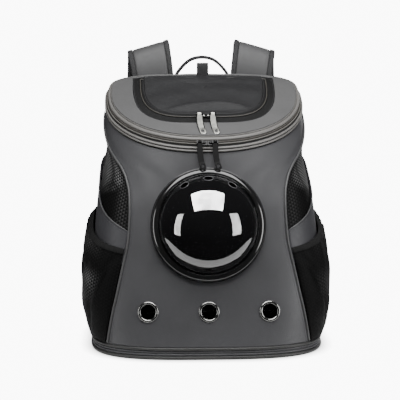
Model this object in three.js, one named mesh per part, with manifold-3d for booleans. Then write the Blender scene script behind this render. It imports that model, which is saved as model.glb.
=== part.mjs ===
// Pet carrier backpack with a clear bubble window, in millimetres, +Z up, front towards -Y.
// The origin is on the floor, under the middle of the bag. X is positive on the right, seen from the front.
import * as THREE from 'three';
import Module from 'manifold-3d';
import { mergeVertices } from 'three/addons/utils/BufferGeometryUtils.js';

// Driving dimensions

const baseHalfWidth = 170;
const baseFrontReach = 138;
const baseRearReach = 124;
const baseWidestAt = -5;
const bandHeight = 17;
const topHalfWidth = 148;
const topFrontReach = 64;
const topRearReach = 126;
const topWidestAt = 66;
const topFrontHeight = 288;
const lidSlope = 0.445;

const clearance = 0.3;
const seamGap = 0.8;
const frontCloth = 3;
const meshCloth = 2;
const overlayCloth = 1.6;
const backPadding = 8;
const baseBoard = 4;
const baseWall = 3.6;
const baseInset = 2;
const basePipingRadius = 2.2;
const seamPipingRadius = 2;
const pocketBulge = 15;
const pocketCloth = 1.6;
const hemWidth = 8;
const hemThickness = 2.6;

const lidWall = 2.4;
const lidRise = 17;
const lidKneeInset = 0.2;
const lidKneeRise = 9;
const lidShoulderInset = 5.5;
const lidShoulderRise = 15.2;
const lidEdgeInset = 10;
const lidBulge = 10;
const lidCloth = 2.4;
const rimPipingRadius = 1.7;
const lidPipingRadius = 2.4;
const zipTape = 1.5;

const windowHalfWidth = topHalfWidth * 0.73;
const windowFrontReach = topFrontReach * 0.375;
const windowMargin = 15;
const windowRearReach = topRearReach - windowMargin;
const windowWidestAt = windowRearReach - windowMargin;
const windowTrimWidth = 17;
const windowTrimCloth = 2.2;
const windowCloth = 1.6;

const bubbleHeight = topFrontHeight * 0.6458;
const bubbleRingOuter = (topFrontHeight - bubbleHeight) * 0.8137;
const bubbleRingWidth = 11;
const bubbleRingInner = bubbleRingOuter - bubbleRingWidth;
const bubbleCollar = 2;
const bubbleRingRise = 12;
const bubbleRise = 58;
const bubbleWall = 2.2;
const bubbleSeatDepth = 5;
const bubbleLip = 3.5;
const bubbleLipThickness = 1.4;
const bubbleVentHalfWidth = 6.5;
const bubbleVentHalfHeight = 3.5;
const bubbleVentRadius = bubbleRingInner - 7;
const bubbleVentSpread = 32;

const ventHeight = bubbleHeight * 0.355;
const ventSpacing = 87;
const ventRadius = 10;
const eyeletOuter = 15;
const eyeletRise = 2.4;
const eyeletWall = 1.4;

const sliderWidth = 9;
const sliderLength = 7;
const sliderThickness = 2.6;
const windowPullPitch = 19.6;
const lidPullPitch = 22.4;
const sliderPost = 1.6;
const bridgeHeight = 3.6;
const bridgeRadius = 0.8;
const knuckleRadius = 2.2;
const pullThickness = 1.6;
const pullHalfWidth = 4.1;
const pullNeck = 2.4;
const pullHole = 2.3;
const pullBend = 5.8;
const windowPullLength = 46;
const lidPullLength = 43;
const windowPullTilt = -7;
const lidPullTilt = -10;
const lidSliderSeat = 0.36;

const strapHalfWidth = 32;
const strapThickness = 9;
const strapEdge = 8.5;
const strapEdgeThickness = 10.5;
const strapSpan = baseHalfWidth * 0.482;
const strapCrest = 429;
const strapHang = 46;
const strapTail = 1.6;
const webbingHalfWidth = 12.5;
const webbingThickness = 1.8;
const buckleHalfWidth = 18;
const buckleHalfHeight = 11;
const buckleThickness = 5;
const slotHalfHeight = 2.6;
const slotSpare = 2;
const anchorPlace = 0.415;
const anchorWidth = 44;
const anchorHeight = 30;
const anchorThickness = 3;

const handleHalfSpan = baseHalfWidth * 0.235;
const handleCrest = 416;
const handleFoot = 352;
const handleHalfWidth = 10;
const handleThickness = 3.2;
const tabHalfWidth = 9;
const tabHeight = 20;
const tabThickness = 2;
const tabGap = 3;

// How finely the surfaces are divided

const aroundSteps = 36;
const cordSides = 5;
const turnedSteps = 32;
const smallSides = 8;
const eyeletSteps = 14;

// Sections of the body from the base to the lid seam: height as a share of the side's height,
// swell of the half width as a share of the base half width, and the roundness of the front
const bodySections = {
  height: [0, 0.2, 0.45, 0.68, 0.82, 0.93, 1],
  swell: [0, 0.014, 0.024, 0.007, -0.022, 0.006, 0],
  roundness: [3.2, 3.9, 4, 3.8, 3.1, 2.5, 2.2],
};
const baseRearRoundness = 4.5;
const topRearRoundness = 3.6;

// Seam between the front panel and the side mesh: height share, and place as a share of the outline
const frontSeam = {
  height: [0, 0.24, 0.36, 0.51, 0.62, 0.71, 0.785, 0.855, 0.89, 0.925, 0.955, 1],
  place: [0.146, 0.1315, 0.126, 0.12, 0.121, 0.125, 0.135, 0.157, 0.19, 0.235, 0.29, 0.36],
};
const backSeam = 0.36;
const sideTop = 0.955;

// Upper edge of the side band, and the hem of the bottle pocket: place, then height share
const bandFoot = 0.4;
const bandEdge = { place: [0.12, 0.165, 0.2, 0.28, 0.36], height: [0.565, 0.615, 0.65, 0.7, 0.74] };
const hemEdge = { place: [0.12, 0.15, 0.2, 0.28, 0.36], height: [0.455, 0.465, 0.49, 0.5, 0.49] };

// Pocket fullness from the bottom to the hem, as a share of its bulge
const pocketFullness = { height: [0, 0.1, 0.3, 0.55, 0.8, 1], share: [0, 0.42, 0.82, 1, 0.96, 0.62] };

// Padded strap from the back panel over the crest to its lower end: across as a share of the span,
// behind as a share of the hang, up as a share of the crest, and twist in degrees
const strapPath = {
  across: [0.9, 0.915, 0.927, 0.957, 0.988, 1, 1.01, 1.025, 1.05, 1.085, 1.134, 1.18, 1.22],
  behind: [0, 0, 0.02, 0.1, 0.29, 0.56, 0.84, 1, 1.06, 1.05, 1, 0.94, 0.9],
  up: [0.75, 0.816, 0.881, 0.942, 0.986, 1, 0.985, 0.937, 0.862, 0.746, 0.606, 0.478, 0.385],
  twist: [0, 2, 6, 11, 15, 16, 14, 10, 6, 3, 0, 0, 0],
};

const bodyHeightAt = (y) => topFrontHeight + lidSlope * (y + topFrontReach);
const lerp = THREE.MathUtils.lerp;
const vec = (x, y, z) => new THREE.Vector3(x, y, z);

// Smooth value of one table column at x, by cubic pieces through its rows
function read(xs, ys, x) {
  const last = xs.length - 1;
  const at = THREE.MathUtils.clamp(x, xs[0], xs[last]);
  const k = Math.min(Math.max(xs.findIndex((v) => v > at), 1), last) - 1;
  const i = at >= xs[last] ? last - 1 : k;
  const slope = (n) => {
    const a = Math.max(n - 1, 0);
    const b = Math.min(n + 1, last);
    return (ys[b] - ys[a]) / (xs[b] - xs[a]);
  };
  const h = xs[i + 1] - xs[i];
  const u = (at - xs[i]) / h;
  const u2 = u * u;
  const u3 = u2 * u;
  return (2 * u3 - 3 * u2 + 1) * ys[i] + (u3 - 2 * u2 + u) * h * slope(i)
    + (3 * u2 - 2 * u3) * ys[i + 1] + (u3 - u2) * h * slope(i + 1);
}

// Right half of a rounded outline from the front middle to the rear middle: two superellipse
// quarters that meet at the widest place, given as dense points with their running length
function halfOutline({ half, front, widest, rear, frontRoundness, rearRoundness }) {
  const dense = 360;
  const points = [];
  const lengths = [0];
  for (let n = 0; n <= dense; n += 1) {
    const turn = (Math.PI * n) / dense;
    const roundness = turn < Math.PI / 2 ? frontRoundness : rearRoundness;
    const reach = Math.abs(Math.cos(turn)) ** (2 / roundness);
    const y = turn < Math.PI / 2 ? widest - (widest - front) * reach : widest + (rear - widest) * reach;
    const x = half * Math.abs(Math.sin(turn)) ** (2 / roundness);
    if (n > 0) lengths.push(lengths[n - 1] + Math.hypot(x - points[n - 1][0], y - points[n - 1][1]));
    points.push([x, y]);
  }
  return { points, lengths };
}

// Point of a half outline at a share of the whole way round, 0 at the front and 0.5 at the rear;
// a negative share is the left side
function outlinePoint(outline, share) {
  const { points, lengths } = outline;
  const goal = Math.min(Math.abs(share) * 2, 1) * lengths[lengths.length - 1];
  let low = 0;
  let high = lengths.length - 1;
  while (high - low > 1) {
    const middle = (low + high) >> 1;
    if (lengths[middle] <= goal) low = middle;
    else high = middle;
  }
  const u = (goal - lengths[low]) / (lengths[high] - lengths[low]);
  const side = share < 0 ? -1 : 1;
  return [side * lerp(points[low][0], points[high][0], u), lerp(points[low][1], points[high][1], u)];
}

const outlineCache = new Map();

// Body outline at a height share, from the base outline to the top one
function bodyOutline(v) {
  if (!outlineCache.has(v)) {
    outlineCache.set(v, halfOutline({
      half: lerp(baseHalfWidth, topHalfWidth, v)
        + baseHalfWidth * read(bodySections.height, bodySections.swell, v),
      front: lerp(-baseFrontReach, -topFrontReach, v),
      widest: lerp(baseWidestAt, topWidestAt, v),
      rear: lerp(baseRearReach, topRearReach, v),
      frontRoundness: read(bodySections.height, bodySections.roundness, v),
      rearRoundness: lerp(baseRearRoundness, topRearRoundness, v),
    }));
  }
  return outlineCache.get(v);
}

function bodyPoint(v, share) {
  const [x, y] = outlinePoint(bodyOutline(v), share);
  const [, topY] = outlinePoint(bodyOutline(1), share);
  return vec(x, y, lerp(bandHeight, bodyHeightAt(topY), v));
}

// Outward direction of the body surface, from short steps along and across it
function bodyNormal(v, share) {
  const step = 0.004;
  const up = bodyPoint(Math.min(v + step, 1), share).sub(bodyPoint(Math.max(v - step, 0), share));
  const along = bodyPoint(v, Math.min(share + step, 0.5)).sub(bodyPoint(v, Math.max(share - step, -0.5)));
  return along.cross(up).normalize();
}

// Point off the body surface, moved level and then up or down with the slope of the top edge
function offsetPoint(v, share, out) {
  const shift = bodyNormal(v, share).setZ(0).normalize().multiplyScalar(out);
  return bodyPoint(v, share).add(shift.setZ(v * lidSlope * shift.y));
}

// Closed outline of points round a lid or base ring, set in from the given outline
function ringPoints(size, inset, count = aroundSteps) {
  const outline = halfOutline({
    ...size, half: size.half - inset, front: size.front + inset, rear: size.rear - inset,
  });
  return Array.from({ length: count }, (_, n) => {
    const share = n / count;
    return outlinePoint(outline, share <= 0.5 ? share : share - 1);
  });
}

const baseSize = {
  half: baseHalfWidth, front: -baseFrontReach, widest: baseWidestAt, rear: baseRearReach,
  frontRoundness: bodySections.roundness[0], rearRoundness: baseRearRoundness,
};
const lidSize = {
  half: topHalfWidth, front: -topFrontReach, widest: topWidestAt, rear: topRearReach,
  frontRoundness: bodySections.roundness[bodySections.roundness.length - 1], rearRoundness: topRearRoundness,
};
const windowSize = {
  half: windowHalfWidth, front: -windowFrontReach, widest: windowWidestAt, rear: windowRearReach,
  frontRoundness: 3.4, rearRoundness: 5,
};

// Height of the lid's upper face: the sloping seam plane, the lid's rise and a low dome
function lidHeight(x, y) {
  const inset = lidEdgeInset;
  const ahead = y < lidSize.widest;
  const reach = ahead ? lidSize.widest - lidSize.front - inset : lidSize.rear - inset - lidSize.widest;
  const roundness = ahead ? lidSize.frontRoundness : lidSize.rearRoundness;
  const across = Math.abs(x / (lidSize.half - inset)) ** roundness;
  const along = Math.abs((y - lidSize.widest) / reach) ** roundness;
  const out = Math.min((across + along) ** (1 / roundness), 1);
  return bodyHeightAt(y) + lidRise + clearance + lidCloth + lidBulge * (1 - out * out);
}

function lidNormal(x, y) {
  const step = 2;
  const across = (lidHeight(x + step, y) - lidHeight(x - step, y)) / (2 * step);
  const along = (lidHeight(x, y + step) - lidHeight(x, y - step)) / (2 * step);
  return vec(-across, -along, 1).normalize();
}

const lidPoint = (x, y, out) => vec(x, y, lidHeight(x, y) + out);

// Geometry from shared vertices and triangles, with the faces turned outwards
function geometryFrom(vertices, triangles) {
  let volume = 0;
  triangles.forEach(([a, b, c]) => {
    volume += vertices[a].dot(vec(0, 0, 0).crossVectors(vertices[b], vertices[c]));
  });
  const faces = volume < 0 ? triangles.map(([a, b, c]) => [a, c, b]) : triangles;
  const geometry = new THREE.BufferGeometry();
  const places = vertices.flatMap((p) => [p.x, p.y, p.z]);
  geometry.setAttribute('position', new THREE.Float32BufferAttribute(places, 3));
  geometry.setIndex(faces.flat());
  return geometry;
}

// Wall between an outer and an inner grid of points. With loop the rows are joined end to end,
// and with mirrored the right half of the columns is divided as a mirror image of the left
function wallGeometry(outer, inner, loop = false, mirrored = false) {
  const rows = outer.length;
  const columns = outer[0].length;
  const vertices = [...outer.flat(), ...inner.flat()];
  const shift = rows * columns;
  const at = (i, j) => (i % rows) * columns + j;
  const triangles = [];
  const quad = (a, b, c, d) => triangles.push([a, b, c], [a, c, d]);
  const bands = loop ? rows : rows - 1;
  for (let i = 0; i < bands; i += 1) {
    for (let j = 0; j < columns - 1; j += 1) {
      const corners = [at(i, j), at(i, j + 1), at(i + 1, j + 1), at(i + 1, j)];
      if (mirrored && j >= (columns - 1) / 2) corners.push(corners.shift());
      const [a, b, c, d] = corners;
      quad(a, b, c, d);
      quad(a + shift, d + shift, c + shift, b + shift);
    }
    quad(at(i, 0), at(i + 1, 0), at(i + 1, 0) + shift, at(i, 0) + shift);
    const [here, next] = [at(i, columns - 1), at(i + 1, columns - 1)];
    quad(here, here + shift, next + shift, next);
  }
  if (!loop) {
    for (let j = 0; j < columns - 1; j += 1) {
      quad(at(0, j), at(0, j) + shift, at(0, j + 1) + shift, at(0, j + 1));
      quad(at(rows - 1, j), at(rows - 1, j + 1), at(rows - 1, j + 1) + shift, at(rows - 1, j) + shift);
    }
  }
  return geometryFrom(vertices, triangles);
}

// Solid skinned over closed sections; a loop joins the last section to the first
function loftGeometry(sections, loop = false) {
  const sides = sections[0].length;
  const vertices = sections.flat();
  const triangles = [];
  const bands = loop ? sections.length : sections.length - 1;
  for (let i = 0; i < bands; i += 1) {
    const here = i * sides;
    const next = ((i + 1) % sections.length) * sides;
    for (let j = 0; j < sides; j += 1) {
      const k = (j + 1) % sides;
      triangles.push([here + j, here + k, next + k], [here + j, next + k, next + j]);
    }
  }
  if (!loop) {
    const end = (sections.length - 1) * sides;
    for (let j = 1; j < sides - 1; j += 1) {
      triangles.push([0, j + 1, j], [end, end + j, end + j + 1]);
    }
  }
  return geometryFrom(vertices, triangles);
}

// Round section of a cord across the given two directions
function cordSection(centre, right, up, radius) {
  return Array.from({ length: cordSides }, (_, n) => {
    const turn = (2 * Math.PI * (n + 0.5)) / cordSides;
    return centre.clone()
      .addScaledVector(right, radius * Math.cos(turn))
      .addScaledVector(up, radius * Math.sin(turn));
  });
}

// Ring skinned round an outline: the section is a list of [inset, rise] pairs, set square
// to the outline in plan, on the height that the plane gives. A reach under 0.5 leaves it
// open at the rear, from that share of the outline on the left to the same on the right
function ringGeometry(size, section, planeHeight, reach = 0.5) {
  const points = ringPoints(size, 0);
  const closed = reach === 0.5;
  const most = Math.round(reach * aroundSteps);
  const numbers = closed
    ? points.map((_, n) => n)
    : Array.from({ length: 2 * most + 1 }, (_, n) => (n - most + aroundSteps) % aroundSteps);
  return loftGeometry(numbers.map((n) => {
    const [x, y] = points[n];
    const [ax, ay] = points[(n + points.length - 1) % points.length];
    const [bx, by] = points[(n + 1) % points.length];
    const out = vec(by - ay, ax - bx, 0).normalize();
    return section.map(([inset, rise]) => {
      const px = x - out.x * inset;
      const py = y - out.y * inset;
      return vec(px, py, planeHeight(py) + rise);
    });
  }), closed);
}

// Section of a ring cord as [inset, rise] pairs
function ringCord(inset, rise, radius) {
  return Array.from({ length: cordSides }, (_, n) => {
    const turn = (2 * Math.PI * (n + 0.5)) / cordSides;
    return [inset - radius * Math.cos(turn), rise + radius * Math.sin(turn)];
  });
}

const finishes = {
  grey: { color: 0x56565a, roughness: 0.55, metalness: 0 },
  pale: { color: 0x7b7b7d, roughness: 0.6, metalness: 0 },
  piping: { color: 0x6b6864, roughness: 0.5, metalness: 0 },
  black: { color: 0x1b1b1c, roughness: 0.9, metalness: 0 },
  binding: { color: 0x3b3b3d, roughness: 0.85, metalness: 0 },
  nylon: { color: 0x3f3f41, roughness: 0.8, metalness: 0 },
  plastic: { color: 0x101011, roughness: 0.25, metalness: 0 },
  clear: { color: 0x0e0e10, roughness: 0.05, metalness: 0 },
  silver: { color: 0xc7c8be, roughness: 0.3, metalness: 1 },
  nickel: { color: 0x9a9a98, roughness: 0.3, metalness: 1 },
};

const bag = new THREE.Group();

function addPiece(name, geometry, finish) {
  const mesh = new THREE.Mesh(geometry, new THREE.MeshStandardMaterial(finishes[finish]));
  mesh.name = name;
  bag.add(mesh);
  return mesh;
}

const wasm = await Module();
wasm.setup();

function mergedPositions(geometry) {
  const bare = new THREE.BufferGeometry();
  bare.setAttribute('position', geometry.getAttribute('position').clone());
  if (geometry.index) bare.setIndex(geometry.index.clone());
  return mergeVertices(bare, 1e-4);
}

function toSolid(geometry) {
  const merged = mergedPositions(geometry);
  return new wasm.Manifold(new wasm.Mesh({
    numProp: 3,
    vertProperties: new Float32Array(merged.getAttribute('position').array),
    triVerts: new Uint32Array(merged.index.array),
  }));
}

function fromSolid(solid) {
  const { vertProperties, triVerts } = solid.getMesh();
  const geometry = new THREE.BufferGeometry();
  geometry.setAttribute('position', new THREE.BufferAttribute(new Float32Array(vertProperties), 3));
  geometry.setIndex(new THREE.BufferAttribute(new Uint32Array(triVerts), 1));
  return geometry;
}

const cut = (geometry, ...tools) => (
  fromSolid(tools.reduce((left, tool) => left.subtract(toSolid(tool)), toSolid(geometry)))
);
const join = (...geometries) => fromSolid(geometries.map(toSolid).reduce((all, one) => all.add(one)));

// Place on the front panel at a distance across and a height: the origin lies on the cloth,
// z points out of it and y runs up it
function frontPlace(across, height) {
  const share = (v) => {
    let low = 0;
    let high = frontSeam.place[0];
    for (let n = 0; n < 30; n += 1) {
      const middle = (low + high) / 2;
      if (bodyPoint(v, middle).x < Math.abs(across)) low = middle;
      else high = middle;
    }
    return Math.sign(across) * low;
  };
  let v = (height - bandHeight) / (topFrontHeight - bandHeight);
  for (let n = 0; n < 6; n += 1) v += (height - bodyPoint(v, share(v)).z) / (topFrontHeight - bandHeight);
  const out = bodyNormal(v, share(v));
  const right = vec(0, 0, 1).cross(out).negate().normalize().negate();
  const up = out.clone().cross(right);
  return new THREE.Matrix4().makeBasis(right, up, out).setPosition(bodyPoint(v, share(v)));
}

// Base: a stiff board in a low cloth band with two rows of piping
function makeBase() {
  const boardOutline = ringPoints(baseSize, baseInset + baseWall + clearance);
  const board = new THREE.ExtrudeGeometry(
    new THREE.Shape(boardOutline.map(([x, y]) => new THREE.Vector2(x, y))),
    { depth: baseBoard, bevelEnabled: false },
  );
  addPiece('base_panel', board, 'binding');
  const flat = () => 0;
  const band = [
    [baseInset, 0], [baseInset, bandHeight - clearance],
    [baseInset + baseWall, bandHeight - clearance], [baseInset + baseWall, 0],
  ];
  addPiece('base_band', ringGeometry(baseSize, band, flat), 'grey');
  const outset = baseInset - basePipingRadius - clearance;
  const piping = (rise) => ringGeometry(baseSize, ringCord(outset, rise, basePipingRadius), flat);
  addPiece('base_piping_lower', piping(basePipingRadius + clearance), 'piping');
  addPiece('base_piping_upper', piping(bandHeight - basePipingRadius), 'piping');
}

const frontRows = frontSeam.height;
const outlineLength = 2 * bodyOutline(0.5).lengths.at(-1);
const seamShareGap = seamGap / 2 / outlineLength;

function makeFront() {
  const columns = 12;
  const grid = (out) => frontRows.map((v) => {
    const edge = read(frontSeam.height, frontSeam.place, v) - seamShareGap;
    return Array.from({ length: columns + 1 }, (_, n) => (
      offsetPoint(v, edge * (2 * n / columns - 1), out)
    ));
  });
  const hole = (place, radius, sides) => new THREE.CylinderGeometry(radius, radius, 2 * bubbleRise, sides)
    .rotateX(Math.PI / 2).applyMatrix4(place);
  const holes = [hole(frontPlace(0, bubbleHeight), bubbleRingInner + bubbleCollar + clearance, turnedSteps)];
  [-1, 0, 1].forEach((side) => {
    const place = frontPlace(side * ventSpacing, ventHeight);
    holes.push(hole(place, ventRadius + eyeletWall + clearance, eyeletSteps));
  });
  addPiece('front_panel', cut(wallGeometry(grid(0), grid(-frontCloth), false, true), ...holes), 'grey');
}

const sideNames = [['left', -1], ['right', 1]];
const sideColumns = 8;

// Wall over one side of the bag: at gives the height share and the place of each grid point,
// outer and inner give how far the two faces stand off the body there
function sideWall(side, rows, at, outer, inner) {
  const grid = (depth) => Array.from({ length: rows + 1 }, (_, i) => (
    Array.from({ length: sideColumns + 1 }, (__, j) => {
      const [v, place] = at(i / rows, j / sideColumns);
      return offsetPoint(v, side * place, depth(i / rows, j / sideColumns));
    })
  ));
  return wallGeometry(grid(outer), grid(inner));
}

function makeSides() {
  const rows = frontSeam.height.filter((v) => v <= sideTop);
  const edge = (v) => read(frontSeam.height, frontSeam.place, v) + seamShareGap;
  const placeAt = (v, j) => lerp(edge(v), backSeam - seamShareGap, j);
  sideNames.forEach(([name, side]) => {
    const grid = (out) => rows.map((v) => Array.from({ length: sideColumns + 1 }, (_, n) => (
      offsetPoint(v, side * placeAt(v, n / sideColumns), out)
    )));
    addPiece(`side_mesh_${name}`, wallGeometry(grid(0), grid(-meshCloth)), 'black');
    const cord = frontSeam.height.map((v) => {
      const place = side * read(frontSeam.height, frontSeam.place, v);
      const out = bodyNormal(v, place);
      const step = 0.01;
      const low = Math.max(v - step, 0);
      const high = Math.min(v + step, 1);
      const ahead = bodyPoint(high, side * read(frontSeam.height, frontSeam.place, high))
        .sub(bodyPoint(low, side * read(frontSeam.height, frontSeam.place, low))).normalize();
      const centre = bodyPoint(v, place).addScaledVector(out, seamPipingRadius + clearance);
      return cordSection(centre, ahead.clone().cross(out).normalize(), out, seamPipingRadius);
    });
    addPiece(`front_piping_${name}`, loftGeometry(cord.slice(0, -1)), 'piping');
    const topAt = (j) => {
      let v = bandEdge.height[0];
      for (let n = 0; n < 5; n += 1) v = read(bandEdge.place, bandEdge.height, placeAt(v, j));
      return v;
    };
    const bandAt = (i, j) => {
      const v = lerp(bandFoot, topAt(j), i);
      return [v, lerp(placeAt(v, 0) + (seamPipingRadius * 1.5) / outlineLength, placeAt(v, 1), j)];
    };
    const seat = clearance * 2;
    const bandWall = sideWall(side, 3, bandAt, () => seat + overlayCloth, () => seat);
    addPiece(`side_band_${name}`, bandWall, 'grey');
  });
}

function makeBack() {
  const rows = 6;
  const columns = 8;
  const edge = 0.5 - backSeam - seamShareGap * 4;
  const grid = (out) => Array.from({ length: rows + 1 }, (_, i) => (
    Array.from({ length: columns + 1 }, (__, j) => {
      const around = edge * (2 * j / columns - 1);
      return offsetPoint(i / rows, around < 0 ? -0.5 - around : 0.5 - around, out);
    })
  ));
  addPiece('back_panel', wallGeometry(grid(0), grid(-backPadding)), 'black');
}

// Lid: a curved band on the seam, piping, the zip, and a domed top round the window

const knee = [lidKneeInset, lidKneeRise];
const shoulder = [lidShoulderInset, lidShoulderRise];
const slopeLength = Math.hypot(shoulder[0] - knee[0], shoulder[1] - knee[1]);
const slopeOut = [(knee[1] - shoulder[1]) / slopeLength, (shoulder[0] - knee[0]) / slopeLength];

// Place on the slope of the lid band, as [inset, rise], at a share of the way up it and a depth off it
const onSlope = (share, depth) => [
  lerp(knee[0], shoulder[0], share) + slopeOut[0] * depth,
  lerp(knee[1], shoulder[1], share) + slopeOut[1] * depth,
];

function makeLid() {
  const band = [
    [knee[0], clearance], knee, shoulder, [lidEdgeInset, lidRise],
    [lidEdgeInset, lidRise - lidWall], [shoulder[0] + lidWall * 0.6, shoulder[1] - lidWall],
    [knee[0] + lidWall, knee[1] - lidWall * 0.4], [knee[0] + lidWall, clearance],
  ];
  addPiece('lid_band', ringGeometry(lidSize, band, bodyHeightAt), 'grey');
  const outset = knee[0] - rimPipingRadius - clearance;
  const rimCord = (rise) => ringGeometry(
    lidSize, ringCord(outset, rise, rimPipingRadius), bodyHeightAt, backSeam,
  );
  addPiece('rim_piping', rimCord(rimPipingRadius + clearance * 4), 'piping');
  addPiece('lid_piping_lower', rimCord(3 * rimPipingRadius + clearance * 7), 'piping');
  const tape = [
    onSlope(0.22, clearance), onSlope(0.22, clearance + zipTape),
    onSlope(0.74, clearance + zipTape), onSlope(0.74, clearance),
  ];
  addPiece('lid_zip', ringGeometry(lidSize, tape, bodyHeightAt, backSeam), 'pale');
  const off = lidPipingRadius + clearance;
  const cordAt = [shoulder[0] - off * 0.35, shoulder[1] + off * 0.94];
  const upperCord = ringCord(...cordAt, lidPipingRadius);
  addPiece('lid_piping_upper', ringGeometry(lidSize, upperCord, bodyHeightAt), 'piping');
  const window = ringPoints(windowSize, 0);
  const rim = ringPoints(lidSize, cordAt[0] + lidPipingRadius + clearance * 2);
  const steps = 2;
  const grid = (depth) => window.map(([wx, wy], n) => {
    const [rx, ry] = rim[n];
    return Array.from({ length: steps + 1 }, (_, k) => {
      const x = lerp(wx, rx, k / steps);
      const y = lerp(wy, ry, k / steps);
      return vec(x, y, lidHeight(x, y) - depth);
    });
  });
  addPiece('lid_panel', wallGeometry(grid(0), grid(lidCloth), true), 'pale');
}

function makeWindow() {
  const steps = aroundSteps;
  const rings = [clearance, windowTrimWidth * 0.5, windowTrimWidth].map((inset) => (
    ringPoints(windowSize, inset, steps)
  ));
  const grid = (out) => rings[0].map((_, n) => rings.map((ring) => lidPoint(ring[n][0], ring[n][1], out)));
  addPiece('window_trim', wallGeometry(grid(0), grid(-windowTrimCloth), true), 'black');
  const inner = ringPoints(windowSize, windowTrimWidth + clearance, steps);
  const centre = [0, (windowRearReach - windowFrontReach) / 2];
  const shares = [1, 0.5];
  const loops = (out) => shares.map((share) => inner.map(([x, y]) => (
    lidPoint(lerp(centre[0], x, share), lerp(centre[1], y, share), out)
  )));
  const top = loops(0);
  const bottom = loops(-windowCloth);
  const tips = [lidPoint(...centre, 0), lidPoint(...centre, -windowCloth)];
  const vertices = [...top.flat(), ...bottom.flat(), ...tips];
  const triangles = [];
  const layer = shares.length * steps;
  for (let n = 0; n < steps; n += 1) {
    const m = (n + 1) % steps;
    [[0, 1], [layer, -1]].forEach(([start, turn]) => {
      for (let k = 0; k < shares.length - 1; k += 1) {
        const a = start + k * steps;
        const b = a + steps;
        const quads = [[a + n, a + m, b + m], [a + n, b + m, b + n]];
        triangles.push(...quads.map((t) => (turn > 0 ? t : [...t].reverse())));
      }
      const last = start + (shares.length - 1) * steps;
      const tip = 2 * layer + (turn > 0 ? 0 : 1);
      triangles.push(turn > 0 ? [last + n, last + m, tip] : [tip, last + m, last + n]);
    });
    triangles.push([m, n, layer + n], [m, layer + n, layer + m]);
  }
  addPiece('window_panel', geometryFrom(vertices, triangles), 'nylon');
}

// Solid turned about z from a closed profile of [radius, height] pairs
function turnedGeometry(profile, steps) {
  const lathe = new THREE.LatheGeometry(profile.map(([r, h]) => new THREE.Vector2(Math.max(r, 0), h)), steps);
  const merged = mergedPositions(lathe.rotateX(Math.PI / 2));
  const position = merged.getAttribute('position');
  const vertices = Array.from({ length: position.count }, (_, n) => vec().fromBufferAttribute(position, n));
  const corners = Array.from(merged.index.array);
  const triangles = Array.from({ length: corners.length / 3 }, (_, n) => corners.slice(3 * n, 3 * n + 3));
  return geometryFrom(vertices, triangles.filter(([a, b, c]) => a !== b && b !== c && c !== a));
}

// Bubble window: a flanged ring through the front panel and a clear dome seated in it
function makeBubble() {
  const place = frontPlace(0, bubbleHeight);
  const collar = bubbleRingInner + bubbleCollar;
  const ring = [
    [bubbleRingInner - bubbleLip, -bubbleSeatDepth], [collar, -bubbleSeatDepth], [collar, clearance],
    [bubbleRingOuter, clearance], [bubbleRingOuter, bubbleRingRise * 0.42],
    [lerp(bubbleRingOuter, bubbleRingInner, 0.36), bubbleRingRise * 0.8],
    [collar, bubbleRingRise], [bubbleRingInner, bubbleRingRise * 0.92],
    [bubbleRingInner, bubbleLipThickness - bubbleSeatDepth],
    [bubbleRingInner - bubbleLip, bubbleLipThickness - bubbleSeatDepth],
    [bubbleRingInner - bubbleLip, -bubbleSeatDepth],
  ];
  addPiece('bubble_ring', turnedGeometry(ring, turnedSteps).applyMatrix4(place), 'plastic');
  const rim = bubbleRingInner * Math.cos(Math.PI / turnedSteps) - clearance;
  const rise = bubbleRise - bubbleRingRise;
  const radius = (rim * rim + rise * rise) / (2 * rise);
  const sweep = Math.asin(rim / radius);
  const arc = (size, steps, fromTop) => Array.from({ length: steps + 1 }, (_, n) => {
    const turn = sweep * (fromTop ? n / steps : 1 - n / steps);
    return [size * Math.sin(turn), bubbleRise - radius + size * Math.cos(turn)];
  });
  const steps = 5;
  const foot = bubbleLipThickness - bubbleSeatDepth + clearance;
  const outer = arc(radius, steps, true);
  const inner = arc(radius - bubbleWall, steps, false);
  const profile = [...outer, [rim, foot], [rim - bubbleWall, foot], ...inner];
  const shell = turnedGeometry(profile, turnedSteps);
  const slot = (degrees) => {
    const shape = new THREE.Shape();
    const sides = 10;
    shape.setFromPoints(Array.from({ length: sides }, (_, n) => new THREE.Vector2(
      bubbleVentHalfWidth * Math.cos((2 * Math.PI * n) / sides),
      bubbleVentRadius + bubbleVentHalfHeight * Math.sin((2 * Math.PI * n) / sides),
    )));
    return new THREE.ExtrudeGeometry(shape, { depth: bubbleRise, bevelEnabled: false })
      .rotateZ(THREE.MathUtils.degToRad(degrees));
  };
  const dome = cut(shell, ...[-bubbleVentSpread, 0, bubbleVentSpread].map(slot));
  addPiece('bubble_dome', dome.applyMatrix4(place), 'clear');
}

function makeEyelets() {
  [['left', -1], ['centre', 0], ['right', 1]].forEach(([name, side]) => {
    const collar = ventRadius + eyeletWall;
    const depth = frontCloth * 1.33;
    const profile = [
      [ventRadius, -depth], [collar, -depth], [collar, clearance], [eyeletOuter, clearance],
      [(eyeletOuter + collar) / 2, eyeletRise], [ventRadius, eyeletRise * 0.4], [ventRadius, -depth],
    ];
    const place = frontPlace(side * ventSpacing, ventHeight);
    addPiece(`eyelet_${name}`, turnedGeometry(profile, eyeletSteps).applyMatrix4(place), 'nickel');
  });
}

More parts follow.
